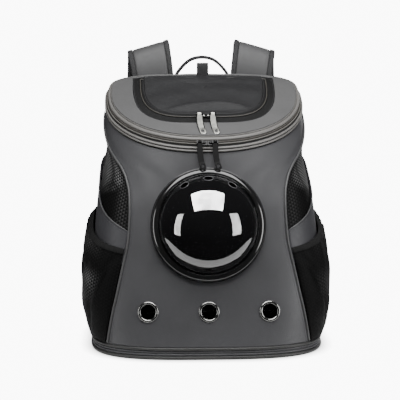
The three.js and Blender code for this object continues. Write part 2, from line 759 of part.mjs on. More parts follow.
// Bottle pockets: full cloth bags on the lower sides, gathered at an elastic hem
function makePockets() {
  const rows = 6;
  const from = (v) => read(frontSeam.height, frontSeam.place, v) + 0.012;
  const to = backSeam - 0.004;
  const at = (i, j) => {
    const guess = read(hemEdge.place, hemEdge.height, lerp(from(0.3), to, j));
    const v = lerp(0.01, guess, i);
    return [v, lerp(from(v), to, j)];
  };
  const fullness = (i, j) => {
    const across = Math.sin(Math.PI * Math.min(Math.max(j, 0), 1)) ** 0.6;
    return pocketBulge * read(pocketFullness.height, pocketFullness.share, i) * across;
  };
  const seat = clearance * 2 + overlayCloth;
  sideNames.forEach(([name, side]) => {
    const outer = (i, j) => seat + pocketCloth + fullness(i, j);
    const inner = (i, j) => seat + fullness(i, j);
    addPiece(`pocket_${name}`, sideWall(side, rows, at, outer, inner), 'black');
    const hemAt = (i, j) => {
      const [v, place] = at(1, j);
      const extra = clearance / (topFrontHeight - bandHeight);
      return [v + extra + (i * hemWidth) / (topFrontHeight - bandHeight), place];
    };
    const hemOuter = (i, j) => seat + hemThickness + fullness(1, j);
    const hemInner = (i, j) => seat + fullness(1, j);
    addPiece(`pocket_hem_${name}`, sideWall(side, 1, hemAt, hemOuter, hemInner), 'binding');
  });
}

// Zip sliders with a bridge bar, and the pulls that swing on it

const pullPath = [0, 0.16, 0.4, 0.6, 0.8, 0.9, 1];

function pullGeometry(pullLength) {
  const halfWidth = (t) => lerp(pullNeck, pullHalfWidth, Math.min(t / 0.16, 1));
  const centreAt = (t) => [
    pullBend * t ** 3,
    -knuckleRadius * 0.6 - (pullLength - knuckleRadius) * t,
  ];
  const edge = (side) => pullPath.map((t) => new THREE.Vector2(
    centreAt(t)[0] + side * halfWidth(t), centreAt(t)[1] + side * pullBend * t * t * 0.3,
  ));
  const shape = new THREE.Shape([...edge(1), ...edge(-1).reverse()]);
  const [hx, hy] = centreAt(0.86);
  const hole = new THREE.Path();
  hole.setFromPoints(Array.from({ length: smallSides }, (_, n) => new THREE.Vector2(
    hx + pullHole * Math.cos((2 * Math.PI * n) / smallSides),
    hy + pullHole * 1.2 * Math.sin((2 * Math.PI * n) / smallSides),
  )));
  shape.holes.push(hole);
  const plate = new THREE.ExtrudeGeometry(shape, { depth: pullThickness, bevelEnabled: false })
    .translate(0, 0, -pullThickness / 2);
  const width = sliderWidth - 2 * sliderPost - 2 * clearance;
  const roll = (radius, length) => new THREE.CylinderGeometry(radius, radius, length, smallSides)
    .rotateZ(Math.PI / 2);
  const knuckle = roll(knuckleRadius, width);
  const bore = roll((bridgeRadius + clearance) / Math.cos(Math.PI / smallSides), width * 2);
  return fromSolid(toSolid(plate).add(toSolid(knuckle)).subtract(toSolid(bore)));
}

// The plate runs on from the bridge to the middle, where the two sliders of a zip meet
function sliderGeometry(side, pitch) {
  const tail = (pitch - sliderWidth) / 2 - clearance;
  const plate = new THREE.BoxGeometry(sliderWidth + tail, sliderLength, sliderThickness)
    .translate((-side * tail) / 2, 0, sliderThickness / 2);
  const bury = sliderThickness * 0.2;
  const top = sliderThickness + bridgeHeight + bridgeRadius;
  const post = (end) => new THREE.BoxGeometry(sliderPost, knuckleRadius * 2, top - bury)
    .translate((end * (sliderWidth - sliderPost)) / 2, 0, (top + bury) / 2);
  const bar = new THREE.CylinderGeometry(bridgeRadius, bridgeRadius, sliderWidth - sliderPost, smallSides)
    .rotateZ(Math.PI / 2).translate(0, 0, sliderThickness + bridgeHeight);
  return join(plate, post(-1), post(1), bar);
}

// A slider and its pull at a place whose z points out of the cloth and whose -y runs down it
function makeZipPull(part, [name, side], place, [pitch, length, tilt], finish) {
  addPiece(`${part}_slider_${name}`, sliderGeometry(side, pitch).applyMatrix4(place), 'plastic');
  const hinge = new THREE.Matrix4().makeTranslation(0, 0, sliderThickness + bridgeHeight);
  const lean = new THREE.Matrix4().makeRotationX(THREE.MathUtils.degToRad(-tilt));
  const hung = place.clone().multiply(hinge).multiply(lean);
  addPiece(`${part}_pull_${name}`, pullGeometry(length).applyMatrix4(hung), finish);
}

function makeZips() {
  sideNames.forEach(([name, side]) => {
    const windowY = -windowFrontReach + windowTrimWidth * 0.5;
    const up = lidNormal(0, windowY);
    const ahead = up.clone().cross(vec(1, 0, 0));
    const windowPlace = new THREE.Matrix4().makeBasis(vec(1, 0, 0), ahead, up)
      .setPosition(lidPoint((side * windowPullPitch) / 2, windowY, clearance));
    const windowPull = [windowPullPitch, windowPullLength, windowPullTilt];
    makeZipPull('window', [name, side], windowPlace, windowPull, 'silver');
    const run = shoulder[0] - knee[0];
    const climb = vec(0, run, shoulder[1] - knee[1] + lidSlope * run).normalize();
    const out = vec(1, 0, 0).cross(climb);
    const [inset, rise] = onSlope(lidSliderSeat, zipTape + clearance);
    const lidY = inset - topFrontReach;
    const lidSeat = vec((side * lidPullPitch) / 2, lidY, bodyHeightAt(lidY) + rise);
    const lidPlace = new THREE.Matrix4().makeBasis(vec(1, 0, 0), climb, out)
      .setPosition(lidSeat.addScaledVector(out, clearance));
    makeZipPull('lid', [name, side], lidPlace, [lidPullPitch, lidPullLength, lidPullTilt], 'plastic');
  });
}

// Shoulder straps with bound edges, ladder buckles, webbing and cloth anchors

const strapSteps = 18;

function strapFrame(side, t) {
  const rows = strapPath.across.length - 1;
  const at = Array.from({ length: rows + 1 }, (_, n) => n / rows);
  const centre = (u) => vec(
    side * strapSpan * read(at, strapPath.across, u),
    topRearReach + strapThickness / 2 + clearance * 3 + strapHang * read(at, strapPath.behind, u),
    strapCrest * read(at, strapPath.up, u),
  );
  const here = centre(t);
  const ahead = centre(Math.min(t + 0.01, 1)).sub(centre(Math.max(t - 0.01, 0))).normalize();
  const twist = THREE.MathUtils.degToRad(read(at, strapPath.twist, t));
  const across = vec(side * Math.cos(twist), 0, -Math.sin(twist));
  across.addScaledVector(ahead, -across.dot(ahead)).normalize();
  return { here, across, out: ahead.clone().cross(across).normalize() };
}

// Bar along the strap with a section of [across, out] pairs
function strapBar(side, section) {
  return loftGeometry(Array.from({ length: strapSteps + 1 }, (_, n) => {
    const { here, across, out } = strapFrame(side, n / strapSteps);
    return section.map(([a, b]) => here.clone().addScaledVector(across, a).addScaledVector(out, b));
  }));
}

function webbingBar(points, across, halfWidth, thickness) {
  const curve = new THREE.CatmullRomCurve3(points);
  const steps = 12;
  return loftGeometry(Array.from({ length: steps + 1 }, (_, n) => {
    const here = curve.getPoint(n / steps);
    const out = curve.getTangent(n / steps).cross(across).normalize();
    return [[-1, -1], [1, -1], [1, 1], [-1, 1]].map(([a, b]) => (
      here.clone().addScaledVector(across, a * halfWidth).addScaledVector(out, (b * thickness) / 2)
    ));
  }));
}

function makeStraps() {
  const padHalf = strapHalfWidth - strapEdge;
  const half = strapThickness / 2;
  const pad = padHalf - clearance;
  const padSection = [
    [-pad, -half], [0, -half * 1.15], [pad, -half], [pad, half], [0, half * 1.15], [-pad, half],
  ];
  const edgeHalf = strapEdgeThickness / 2;
  const seam = padHalf + clearance * 1.5;
  const edgeSection = (s) => [
    [s * seam, -edgeHalf], [s * (strapHalfWidth - edgeHalf * 0.5), -edgeHalf], [s * strapHalfWidth, 0],
    [s * (strapHalfWidth - edgeHalf * 0.5), edgeHalf], [s * seam, edgeHalf],
  ];
  sideNames.forEach(([name, side]) => {
    addPiece(`strap_${name}`, strapBar(side, padSection), 'pale');
    addPiece(`strap_edge_${name}_inner`, strapBar(side, edgeSection(-1)), 'binding');
    addPiece(`strap_edge_${name}_outer`, strapBar(side, edgeSection(1)), 'binding');
    const { here } = strapFrame(side, 1);
    const buckleCentre = here.clone().add(vec(0, 0, -buckleHalfHeight - clearance - strapTail));
    const plate = new THREE.BoxGeometry(2 * buckleHalfWidth, buckleThickness, 2 * buckleHalfHeight);
    const slotWidth = 2 * webbingHalfWidth + slotSpare;
    const slot = (up) => new THREE.BoxGeometry(slotWidth, buckleThickness * 2, 2 * slotHalfHeight)
      .translate(0, 0, up * buckleHalfHeight * 0.45);
    addPiece(`buckle_${name}`, cut(plate, slot(1), slot(-1)).translate(...buckleCentre), 'plastic');
    const bearing = slotHalfHeight - webbingThickness / 2 - clearance;
    const inSlot = buckleCentre.clone().add(vec(0, 0, -buckleHalfHeight * 0.45 - bearing));
    const seat = clearance * 2;
    const rise = anchorHeight / (topFrontHeight - bandHeight);
    const foot = offsetPoint(
      rise * 0.6, side * anchorPlace, seat + anchorThickness + clearance * 2 + webbingThickness / 2,
    );
    const webbing = webbingBar([
      inSlot.clone().add(vec(0, -buckleThickness / 2, 0)),
      inSlot.clone().add(vec(0, buckleThickness / 2 + webbingThickness, 0)),
      inSlot.clone().add(vec(0, buckleThickness / 2 + 2 * webbingThickness, -2.5 * webbingThickness)),
      inSlot.clone().lerp(foot, 0.35).add(vec(0, 2 * webbingThickness, 0)),
      inSlot.clone().lerp(foot, 0.75).add(vec(0, 1.5 * webbingThickness, 0)), foot,
    ], vec(1, 0, 0), webbingHalfWidth, webbingThickness);
    addPiece(`webbing_${name}`, webbing, 'binding');
    const anchorAt = (i, j) => {
      const halfWidth = lerp(anchorWidth / 2, webbingHalfWidth + slotSpare / 2, i) / outlineLength;
      return [rise * i + 0.002, anchorPlace + halfWidth * (2 * j - 1)];
    };
    const anchor = sideWall(side, 2, anchorAt, () => seat + anchorThickness, () => seat);
    addPiece(`strap_anchor_${name}`, anchor, 'binding');
  });
}

// Carry handle behind the lid, and a small loop of webbing on the lid's rear edge
function makeHandle() {
  const y = topRearReach + handleHalfWidth + clearance * 1.5;
  const side = (s) => [
    vec(s * handleHalfSpan, y, handleFoot),
    vec(s * handleHalfSpan * 0.95, y, lerp(handleFoot, handleCrest, 0.55)),
    vec(s * handleHalfSpan * 0.55, y, lerp(handleFoot, handleCrest, 0.9)),
  ];
  const points = [...side(-1), vec(0, y, handleCrest), ...side(1).reverse()];
  const handle = webbingBar(points, vec(0, 1, 0), handleHalfWidth, handleThickness);
  addPiece('carry_handle', handle, 'nylon');
  const tabY = lidSize.rear - lidEdgeInset - tabGap;
  const reach = tabGap / 2 + tabThickness / 2;
  const foot = lidHeight(0, tabY + reach + tabThickness / 2) + clearance * 1.5;
  const loop = [
    vec(0, tabY - reach, foot), vec(0, tabY - reach, foot + tabHeight * 0.75),
    vec(0, tabY, foot + tabHeight - tabThickness / 2),
    vec(0, tabY + reach, foot + tabHeight * 0.75), vec(0, tabY + reach, foot),
  ];
  addPiece('top_tab', webbingBar(loop, vec(1, 0, 0), tabHalfWidth, tabThickness), 'nylon');
}

makeBase();
makeFront();
makeSides();
makeBack();
makeLid();
makeWindow();
makeBubble();
makeEyelets();
makePockets();
makeZips();
makeStraps();
makeHandle();

export default bag;
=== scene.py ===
import math
import bmesh
import bpy
import numpy as np
from mathutils import Matrix, Vector


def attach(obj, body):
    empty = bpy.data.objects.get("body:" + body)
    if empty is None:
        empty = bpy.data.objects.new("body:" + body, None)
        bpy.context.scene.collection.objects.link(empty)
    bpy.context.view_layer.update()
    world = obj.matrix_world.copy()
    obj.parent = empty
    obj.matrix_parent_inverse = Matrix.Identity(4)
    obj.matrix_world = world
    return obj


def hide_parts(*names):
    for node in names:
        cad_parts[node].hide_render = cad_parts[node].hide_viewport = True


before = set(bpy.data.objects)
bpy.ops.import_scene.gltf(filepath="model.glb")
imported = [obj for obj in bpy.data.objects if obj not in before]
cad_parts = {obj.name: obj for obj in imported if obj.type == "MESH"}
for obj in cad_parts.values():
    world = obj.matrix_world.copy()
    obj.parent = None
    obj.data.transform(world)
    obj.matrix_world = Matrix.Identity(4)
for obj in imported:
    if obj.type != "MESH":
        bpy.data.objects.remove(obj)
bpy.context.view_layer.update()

# Lengths below are in millimetres, and meshMade turns them into metres

camera = {"turn": -2.4, "rise": 8.5, "distance": 2.2, "target": (0, 0, 0.2), "lens": 132.3,
          "shift": (-0.0138, 0.0156)}


def axesMatrix(centre, side, up, out):
    return Matrix.Translation(Vector(centre)) @ Matrix((side, up, out)).transposed().to_4x4()


def makeCamera():
    turn, rise = math.radians(camera["turn"]), math.radians(camera["rise"])
    back = Vector((math.sin(turn) * math.cos(rise), -math.cos(turn) * math.cos(rise), math.sin(rise)))
    side = Vector((math.cos(turn), math.sin(turn), 0))
    lens = bpy.data.cameras.new("camera")
    lens.sensor_width, lens.lens = 36, camera["lens"]
    lens.shift_x, lens.shift_y = camera["shift"]
    viewer = bpy.data.objects.new("camera", lens)
    viewer.matrix_world = axesMatrix(Vector(camera["target"]) + back * camera["distance"], side,
                                     back.cross(side), back)
    bpy.context.scene.collection.objects.link(viewer)
    bpy.context.scene.camera = viewer


makeCamera()
print("camera set")


# The shape of the bag


def unit(vectors):
    return vectors / np.maximum(np.linalg.norm(vectors, axis=-1, keepdims=True), 1e-12)


def mix(a, b, share):
    return a + (b - a) * share


# Smooth value of a table column: cubic pieces whose slope at each row comes from the rows beside it
def smoothRead(rows, values, at):
    rows, values = np.asarray(rows, float), np.asarray(values, float)
    before = np.maximum(np.arange(len(rows)) - 1, 0)
    after = np.minimum(np.arange(len(rows)) + 1, len(rows) - 1)
    slope = (values[after] - values[before]) / (rows[after] - rows[before])
    at = np.clip(np.asarray(at, float), rows[0], rows[-1])
    k = np.clip(np.searchsorted(rows, at, side="right") - 1, 0, len(rows) - 2)
    step = rows[k + 1] - rows[k]
    u = (at - rows[k]) / step
    return ((2 * u**3 - 3 * u**2 + 1) * values[k] + (u**3 - 2 * u**2 + u) * step * slope[k]
            + (3 * u**2 - 2 * u**3) * values[k + 1] + (u**3 - u**2) * step * slope[k + 1])


# Rounded outline: two superellipse quarters a side that meet at the widest place, read by running length.
# Share 0 is the front middle, 0.5 the rear middle, and the left side is negative
def outlinePoints(size, shares):
    turn = np.linspace(0, np.pi, 1801)
    ahead = turn < np.pi / 2
    power = np.where(ahead, size["frontRound"], size["rearRound"])
    reach = np.abs(np.cos(turn)) ** (2 / power)
    x = size["half"] * np.abs(np.sin(turn)) ** (2 / power)
    y = size["widest"] + reach * np.where(ahead, size["front"] - size["widest"], size["rear"] - size["widest"])
    run = np.r_[0, np.cumsum(np.hypot(np.diff(x), np.diff(y)))]
    shares = (np.asarray(shares, float) + 0.5) % 1 - 0.5
    goal = np.abs(shares) * 2 * run[-1]
    return np.stack([np.sign(shares) * np.interp(goal, run, x), np.interp(goal, run, y)], -1)


bag = {
    "base": {"half": 170, "front": -138, "widest": -5, "rear": 124, "frontRound": 3.2, "rearRound": 4.5},
    "top": {"half": 148, "front": -64, "widest": 66, "rear": 126, "frontRound": 2.2, "rearRound": 3.6},
    "bandHeight": 17, "frontHeight": 288, "lidSlope": 0.445,
    "heights": [0, 0.2, 0.45, 0.68, 0.82, 0.93, 1],
    "swell": [0, 0.014, 0.024, 0.007, -0.022, 0.006, 0],
    "roundness": [3.2, 3.9, 4, 3.8, 3.1, 2.5, 2.2],
    "seamHeights": [0, 0.24, 0.36, 0.51, 0.62, 0.71, 0.785, 0.855, 0.89, 0.925, 0.955, 1],
    "seamPlaces": [0.146, 0.1315, 0.126, 0.12, 0.121, 0.125, 0.135, 0.157, 0.19, 0.235, 0.29, 0.36],
    "backSeam": 0.36, "sideTop": 0.955, "around": 1090,
}


def seamHeight(y):
    return bag["frontHeight"] + bag["lidSlope"] * (y - bag["top"]["front"])


def frontSeam(v):
    return smoothRead(bag["seamHeights"], bag["seamPlaces"], v)


# Body surface as a table: one outline for each height share, blended from the base to the lid seam
def bodyTable(levels=241, places=1441):
    shares = np.linspace(-0.5, 0.5, places)
    seam = seamHeight(outlinePoints(bag["top"], shares)[:, 1])
    rows = []
    for v in np.linspace(0, 1, levels):
        size = {key: mix(bag["base"][key], bag["top"][key], v) for key in bag["base"]}
        size["half"] += bag["base"]["half"] * smoothRead(bag["heights"], bag["swell"], v)
        size["frontRound"] = smoothRead(bag["heights"], bag["roundness"], v)
        flat = outlinePoints(size, np.where(shares == 0.5, 0.4999999, np.where(shares == -0.5, -0.4999999, shares)))
        rows.append(np.column_stack([flat, mix(bag["bandHeight"], seam, v)]))
    points = np.array(rows)
    outward = unit(np.cross(np.gradient(points, axis=1), np.gradient(points, axis=0)))
    return points, outward


body, bodyOut = bodyTable()


# Reads the table between its rows and columns, then moves out along the surface's own direction
def onBody(v, place, out=0.0):
    v, place, out = np.broadcast_arrays(np.clip(v, 0, 1), place, out)
    i = v * (body.shape[0] - 1)
    j = ((place + 0.5) % 1) * (body.shape[1] - 1)
    i0 = np.clip(i.astype(int), 0, body.shape[0] - 2)
    j0 = np.clip(j.astype(int), 0, body.shape[1] - 2)
    a, b = (i - i0)[..., None], (j - j0)[..., None]

    def between(table):
        return mix(mix(table[i0, j0], table[i0, j0 + 1], b), mix(table[i0 + 1, j0], table[i0 + 1, j0 + 1], b), a)

    return between(body) + unit(between(bodyOut)) * out[..., None]


# Soft unevenness of cloth: a few long sine waves in fixed directions, from -1 to 1
def ripple(a, b, seed, waves=7, low=0.6, high=3.0):
    pick = np.random.default_rng(seed)
    total = np.zeros(np.broadcast(a, b).shape)
    for _ in range(waves):
        turn, pace, start = pick.uniform(0, np.pi), pick.uniform(low, high), pick.uniform(0, 2 * np.pi)
        total = total + np.sin(2 * np.pi * pace * (a * np.cos(turn) + b * np.sin(turn)) + start)
    return total / waves**0.5 / 1.6


# Section of (inset, rise) pairs carried round an outline, square to it in plan, on the height of a sloping plane
def roundOutline(size, section, plane, count=360, reach=0.5):
    shares = np.arange(count) / count - 0.5 if reach == 0.5 else np.linspace(-reach, reach, count)
    middle = outlinePoints(size, shares)
    along = unit(outlinePoints(size, shares + 0.0015) - outlinePoints(size, shares - 0.0015))
    outward = np.stack([along[:, 1], -along[:, 0]], -1)
    section = np.asarray(section, float)
    flat = middle[:, None, :] - outward[:, None, :] * section[None, :, :1]
    return np.concatenate([flat, (plane(flat[..., 1]) + section[None, :, 1])[..., None]], -1)


def circle(count, radius=1.0, start=0.0):
    turn = start + 2 * np.pi * np.arange(count) / count
    return radius * np.column_stack([np.cos(turn), np.sin(turn)])


# Closed section with flat faces and soft corners: a superellipse
def softBar(half, thick, count=32, power=5.0):
    turn = 2 * np.pi * (np.arange(count) + 0.5) / count
    bend = 2 / power
    return np.column_stack([half * np.sign(np.cos(turn)) * np.abs(np.cos(turn)) ** bend,
                            thick * np.sign(np.sin(turn)) * np.abs(np.sin(turn)) ** bend])


# Smooth line through points, the slope at each taken from its neighbours
def smoothLine(points, count):
    points = np.asarray(points, float)
    run = np.r_[0, np.cumsum(np.linalg.norm(np.diff(points, axis=0), axis=1))]
    at = np.linspace(0, run[-1], count)
    return np.column_stack([smoothRead(run, points[:, k], at) for k in range(3)])


# Section of (across, out) pairs carried along a line; across is given and out is square to it and to the line
def alongLine(line, across, section):
    ahead = unit(np.gradient(line, axis=0))
    across = np.broadcast_to(across, line.shape)
    across = unit(across - ahead * np.sum(across * ahead, -1, keepdims=True))
    out = np.cross(ahead, across)
    section = np.asarray(section, float)
    if section.ndim == 2:
        section = np.broadcast_to(section, (len(line),) + section.shape)
    return line[:, None, :] + across[:, None, :] * section[..., :1] + out[:, None, :] * section[..., 1:]


# Round cord along a line with its ends drawn in to a point
def cordPoints(line, radius, across, sides=12):
    rounding = np.ones(len(line))
    rounding[:4] = rounding[-4:][::-1] = [0.05, 0.6, 0.85, 0.97]
    section = circle(sides)[None] * (radius * rounding)[:, None, None]
    return alongLine(line, across, section)


# Meshes


def meshMade(name, points, faces, uv=None):
    mesh = bpy.data.meshes.new(name)
    mesh.vertices.add(len(points))
    mesh.vertices.foreach_set("co", (np.asarray(points, float) * 0.001).ravel())
    sides = faces.shape[1]
    mesh.loops.add(faces.size)
    mesh.loops.foreach_set("vertex_index", faces.ravel())
    mesh.polygons.add(len(faces))
    mesh.polygons.foreach_set("loop_start", np.arange(0, faces.size, sides))
    mesh.polygons.foreach_set("loop_total", np.full(len(faces), sides))
    mesh.update(calc_edges=True)
    mesh.polygons.foreach_set("use_smooth", np.ones(len(faces), bool))
    if uv is not None:
        mesh.uv_layers.new(name="cloth").data.foreach_set("uv", uv.ravel())
    return mesh


def addPiece(name, mesh, material, rides="bag", slot=None, nodes=()):
    piece = bpy.data.objects.new(name, mesh)
    bpy.context.scene.collection.objects.link(piece)
    mesh.materials.clear()
    mesh.materials.append(material)
    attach(piece, rides)
    if nodes:
        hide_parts(*nodes)
    return piece


# Grid of points as quads. The map gives each corner its running length along the rows and the columns, in metres
def surface(name, points, material, closedRows=False, closedColumns=False, flip=False, capped=False, light=None,
            **more):
    rows, columns = points.shape[:2]
    index = np.arange(rows * columns).reshape(rows, columns)
    wide = points
    if closedRows:
        index, wide = np.vstack([index, index[:1]]), np.concatenate([wide, wide[:1]], 0)
    if closedColumns:
        index, wide = np.hstack([index, index[:, :1]]), np.concatenate([wide, wide[:, :1]], 1)
    across = np.zeros(index.shape)
    across[:, 1:] = np.cumsum(np.linalg.norm(np.diff(wide, axis=1), axis=-1), 1)
    across -= across[:, across.shape[1] // 2][:, None]
    down = np.zeros(index.shape)
    down[1:] = np.cumsum(np.linalg.norm(np.diff(wide, axis=0), axis=-1), 0)
    down[:] = down.mean(1)[:, None] if closedColumns else down
    uv = np.stack([across, down], -1) * 0.001

    def corners(grid):
        four = np.stack([grid[:-1, :-1], grid[:-1, 1:], grid[1:, 1:], grid[1:, :-1]], 2)
        four = four.reshape((-1,) + four.shape[2:])
        return four[:, ::-1] if flip else four

    mesh = meshMade(name, points.reshape(-1, 3), corners(index), corners(uv))
    # light: amount of painted highlight for each point, kept as a point attribute for the net materials
    if light is not None:
        glints = mesh.attributes.new("light", "FLOAT", "POINT")
        glints.data.foreach_set("value", np.broadcast_to(light, (rows, columns)).ravel())
    if capped:
        capEnds(mesh, index)
    return addPiece(name, mesh, material, **more)


# Tube that meets itself, and tube with two ends
def ringTube(name, points, material, **more):
    return surface(name, points, material, closedRows=True, closedColumns=True, **more)


def openTube(name, points, material, **more):
    return surface(name, points, material, closedColumns=True, **more)


# Closes the two ends of a tube with one face each
def capEnds(mesh, index):
    ends = [list(map(int, index[0, :-1])), list(map(int, index[-1, :-1][::-1]))]
    work = bmesh.new()
    work.from_mesh(mesh)
    work.verts.ensure_lookup_table()
    for end in ends:
        work.faces.new([work.verts[k] for k in end]).smooth = False
    bmesh.ops.recalc_face_normals(work, faces=work.faces)
    work.to_mesh(mesh)
    work.free()


# Cloth thickness, laid inwards from the surface
def thicken(piece, depth, side=-1):
    wall = piece.modifiers.new("thickness", "SOLIDIFY")
    wall.thickness, wall.offset = depth * 0.001, side
    return piece


def soften(piece, width, segments=2):
    edge = piece.modifiers.new("soft edges", "BEVEL")
    edge.width, edge.segments, edge.limit_method, edge.angle_limit = width * 0.001, segments, "ANGLE", 0.7
    return piece


# Puts the result of the piece's modifiers into its mesh
def settle(piece):
    shown = piece.evaluated_get(bpy.context.evaluated_depsgraph_get())
    mesh = bpy.data.meshes.new_from_object(shown)
    piece.modifiers.clear()
    piece.data = mesh
    return piece


def cutAway(piece, tools):
    for tool in tools:
        hole = piece.modifiers.new("hole", "BOOLEAN")
        hole.operation, hole.solver, hole.object = "DIFFERENCE", "EXACT", tool
    settle(piece)
    for tool in tools:
        bpy.data.objects.remove(tool)
    return piece


# Prism with the given outline of (right, up) pairs, from one height to another along the third axis of a place
def prism(outline, low, high, place):
    count = len(outline)
    flat = np.array([[x, y, h] for h in (low, high) for x, y in outline])
    points = place[0] + flat @ np.array(place[1:])
    tool = bpy.data.objects.new("tool", bpy.data.meshes.new("tool"))
    ring = list(range(count))
    sides = [(k, (k + 1) % count, (k + 1) % count + count, k + count) for k in ring]
    tool.data.from_pydata((points * 0.001).tolist(), [], [ring[::-1], [k + count for k in ring], *sides])
    bpy.context.scene.collection.objects.link(tool)
    return tool


# Profile of (radius, height) pairs turned round the third axis of a place given as origin, right, up and out
def turned(profile, place, steps=96):
    profile = np.asarray(profile, float)
    turn = 2 * np.pi * np.arange(steps) / steps
    flat = np.stack([profile[None, :, 0] * np.cos(turn)[:, None], profile[None, :, 0] * np.sin(turn)[:, None],
                     np.broadcast_to(profile[None, :, 1], (steps, len(profile)))], -1)
    return place[0] + flat @ np.array(place[1:])


# Row of stitches: short threads, thick in the middle, laid end to end along a line with small gaps
def stitches(name, line, outward, material, length=2.8, gap=1.5, radius=0.34, **more):
    run = np.r_[0, np.cumsum(np.linalg.norm(np.diff(line, axis=0), axis=1))]
    starts = np.arange(gap, run[-1] - length, length + gap)
    shape = np.array([[0, 0.35], [0.3, 1.0], [0.7, 1.0], [1, 0.35]])
    at = starts[:, None] + shape[None, :, 0] * length
    centre = np.stack([np.interp(at, run, line[:, k]) for k in range(3)], -1)
    outward = np.broadcast_to(outward, line.shape)
    out = unit(np.stack([np.interp(at, run, outward[:, k]) for k in range(3)], -1))
    side = unit(np.cross(unit(centre[:, -1:] - centre[:, :1]), out))
    ring = circle(5, radius)
    around = side[:, :, None] * ring[:, :1] + out[:, :, None] * ring[:, 1:]
    points = centre[:, :, None] + around * shape[None, :, 1, None, None]
    count, sides = len(starts), 5
    index = np.arange(count * 4 * sides).reshape(count, 4, sides)
    near, far = index, np.roll(index, -1, 2)
    quads = np.stack([near[:, :-1], far[:, :-1], far[:, 1:], near[:, 1:]], -1).reshape(-1, 4)
    return addPiece(name, meshMade(name, points.reshape(-1, 3), quads), material, **more)


# Materials


def newMaterial(name, colour, rough, metal=0.0, specular=0.5, sheen=0.0, coat=0.0):
    material = bpy.data.materials.new(name)
    material.use_nodes = True
    shader = material.node_tree.nodes["Principled BSDF"]
    shader.inputs["Base Color"].default_value = (*colour, 1)
    shader.inputs["Roughness"].default_value = rough
    shader.inputs["Metallic"].default_value = metal
    shader.inputs["Specular IOR Level"].default_value = specular
    shader.inputs["Sheen Weight"].default_value = sheen
    shader.inputs["Coat Weight"].default_value = coat
    shader.inputs["Coat Roughness"].default_value = 0.08
    return material


def node(material, kind, settings=None, **inputs):
    made = material.node_tree.nodes.new("ShaderNode" + kind)
    for key, value in (settings or {}).items():
        setattr(made, key, value)
    for key, value in inputs.items():
        socket = made.inputs[int(key[1:])] if key[0] == "_" else made.inputs[key]
        if isinstance(value, bpy.types.NodeSocket):
            material.node_tree.links.new(value, socket)
        else:
            socket.default_value = value
    return made


def feed(material, socket, name):
    material.node_tree.links.new(socket, material.node_tree.nodes["Principled BSDF"].inputs[name])


def bumpInto(material, height, strength, distance, under=None):
    bump = node(material, "Bump", Height=height, Strength=strength, Distance=distance)
    if under is not None:
        material.node_tree.links.new(under, bump.inputs["Normal"])
    return bump.outputs["Normal"]


# Colour that drifts a little over the piece, from a broad noise
def drift(material, where, colour, amount, scale, name="Base Color", other=None):
    broad = node(material, "TexNoise", Vector=where, Scale=scale, Detail=4.0, Roughness=0.6)
    spread = node(material, "MapRange", Value=broad.outputs["Fac"], _1=0.3, _2=0.7, _3=0.0, _4=1.0)
    low = tuple(c * (1 - amount) for c in colour) + (1,)
    high = tuple(c * (1 + amount) for c in (other or colour)) + (1,)
    blend = node(material, "Mix", {"data_type": "RGBA"}, _0=spread.outputs[0], _6=low, _7=high)
    if name:
        feed(material, blend.outputs[2], name)
    return blend.outputs[2]


# Coated cloth with a fine pebbled grain
def leatherette(name, colour, rough=0.46):
    material = newMaterial(name, colour, rough, specular=0.42)
    where = node(material, "TexCoord").outputs["Object"]
    drift(material, where, colour, 0.06, 14.0)
    pebble = node(material, "TexVoronoi", {"feature": "SMOOTH_F1"}, Vector=where, Scale=950.0)
    crease = node(material, "TexNoise", Vector=where, Scale=160.0, Detail=5.0, Roughness=0.65)
    polish = node(material, "MapRange", Value=crease.outputs["Fac"], _1=0.3, _2=0.7, _3=rough - 0.05,
                  _4=rough + 0.06)
    feed(material, polish.outputs[0], "Roughness")
    soft = bumpInto(material, crease.outputs["Fac"], 0.12, 0.0006)
    feed(material, bumpInto(material, pebble.outputs["Distance"], 0.22, 0.0003, soft), "Normal")
    return material


def clothMap(material):
    return node(material, "SeparateXYZ", Vector=node(material, "UVMap", {"uv_map": "cloth"}).outputs["UV"])


def wave(material, value, period):
    scaled = node(material, "Math", {"operation": "MULTIPLY"}, _0=value, _1=2 * math.pi / period)
    return node(material, "Math", {"operation": "SINE"}, _0=scaled.outputs[0]).outputs[0]


def maths(material, operation, a, b):
    return node(material, "Math", {"operation": operation}, _0=a, _1=b).outputs[0]


# Plain woven cloth or tape: threads over and under, from sines across and along the piece's own map
def weave(name, colour, rough=0.75, across=0.0011, along=0.0011, strength=0.5, sheen=0.0, amount=0.1, specular=0.3):
    material = newMaterial(name, colour, rough, sheen=sheen, specular=specular)
    parts = clothMap(material)
    where = node(material, "TexCoord").outputs["Object"]
    weft, warp = wave(material, parts.outputs["X"], across), wave(material, parts.outputs["Y"], along)
    over = maths(material, "MULTIPLY", weft, warp)
    soft = drift(material, where, colour, amount, 30.0, name=None)
    lit = node(material, "MapRange", Value=over, _1=-1.0, _2=1.0, _3=0.72, _4=1.25)
    tinted = node(material, "Mix", {"data_type": "RGBA", "blend_type": "MULTIPLY"}, _0=1.0, _6=soft,
                  _7=(1, 1, 1, 1))
    shade = node(material, "CombineColor", Red=lit.outputs[0], Green=lit.outputs[0], Blue=lit.outputs[0])
    material.node_tree.links.new(shade.outputs[0], tinted.inputs[7])
    feed(material, tinted.outputs[2], "Base Color")
    fuzz = node(material, "TexNoise", Vector=where, Scale=420.0, Detail=3.0)
    under = bumpInto(material, fuzz.outputs["Fac"], 0.15, 0.0004)
    feed(material, bumpInto(material, over, strength, 0.00025, under), "Normal")
    return material
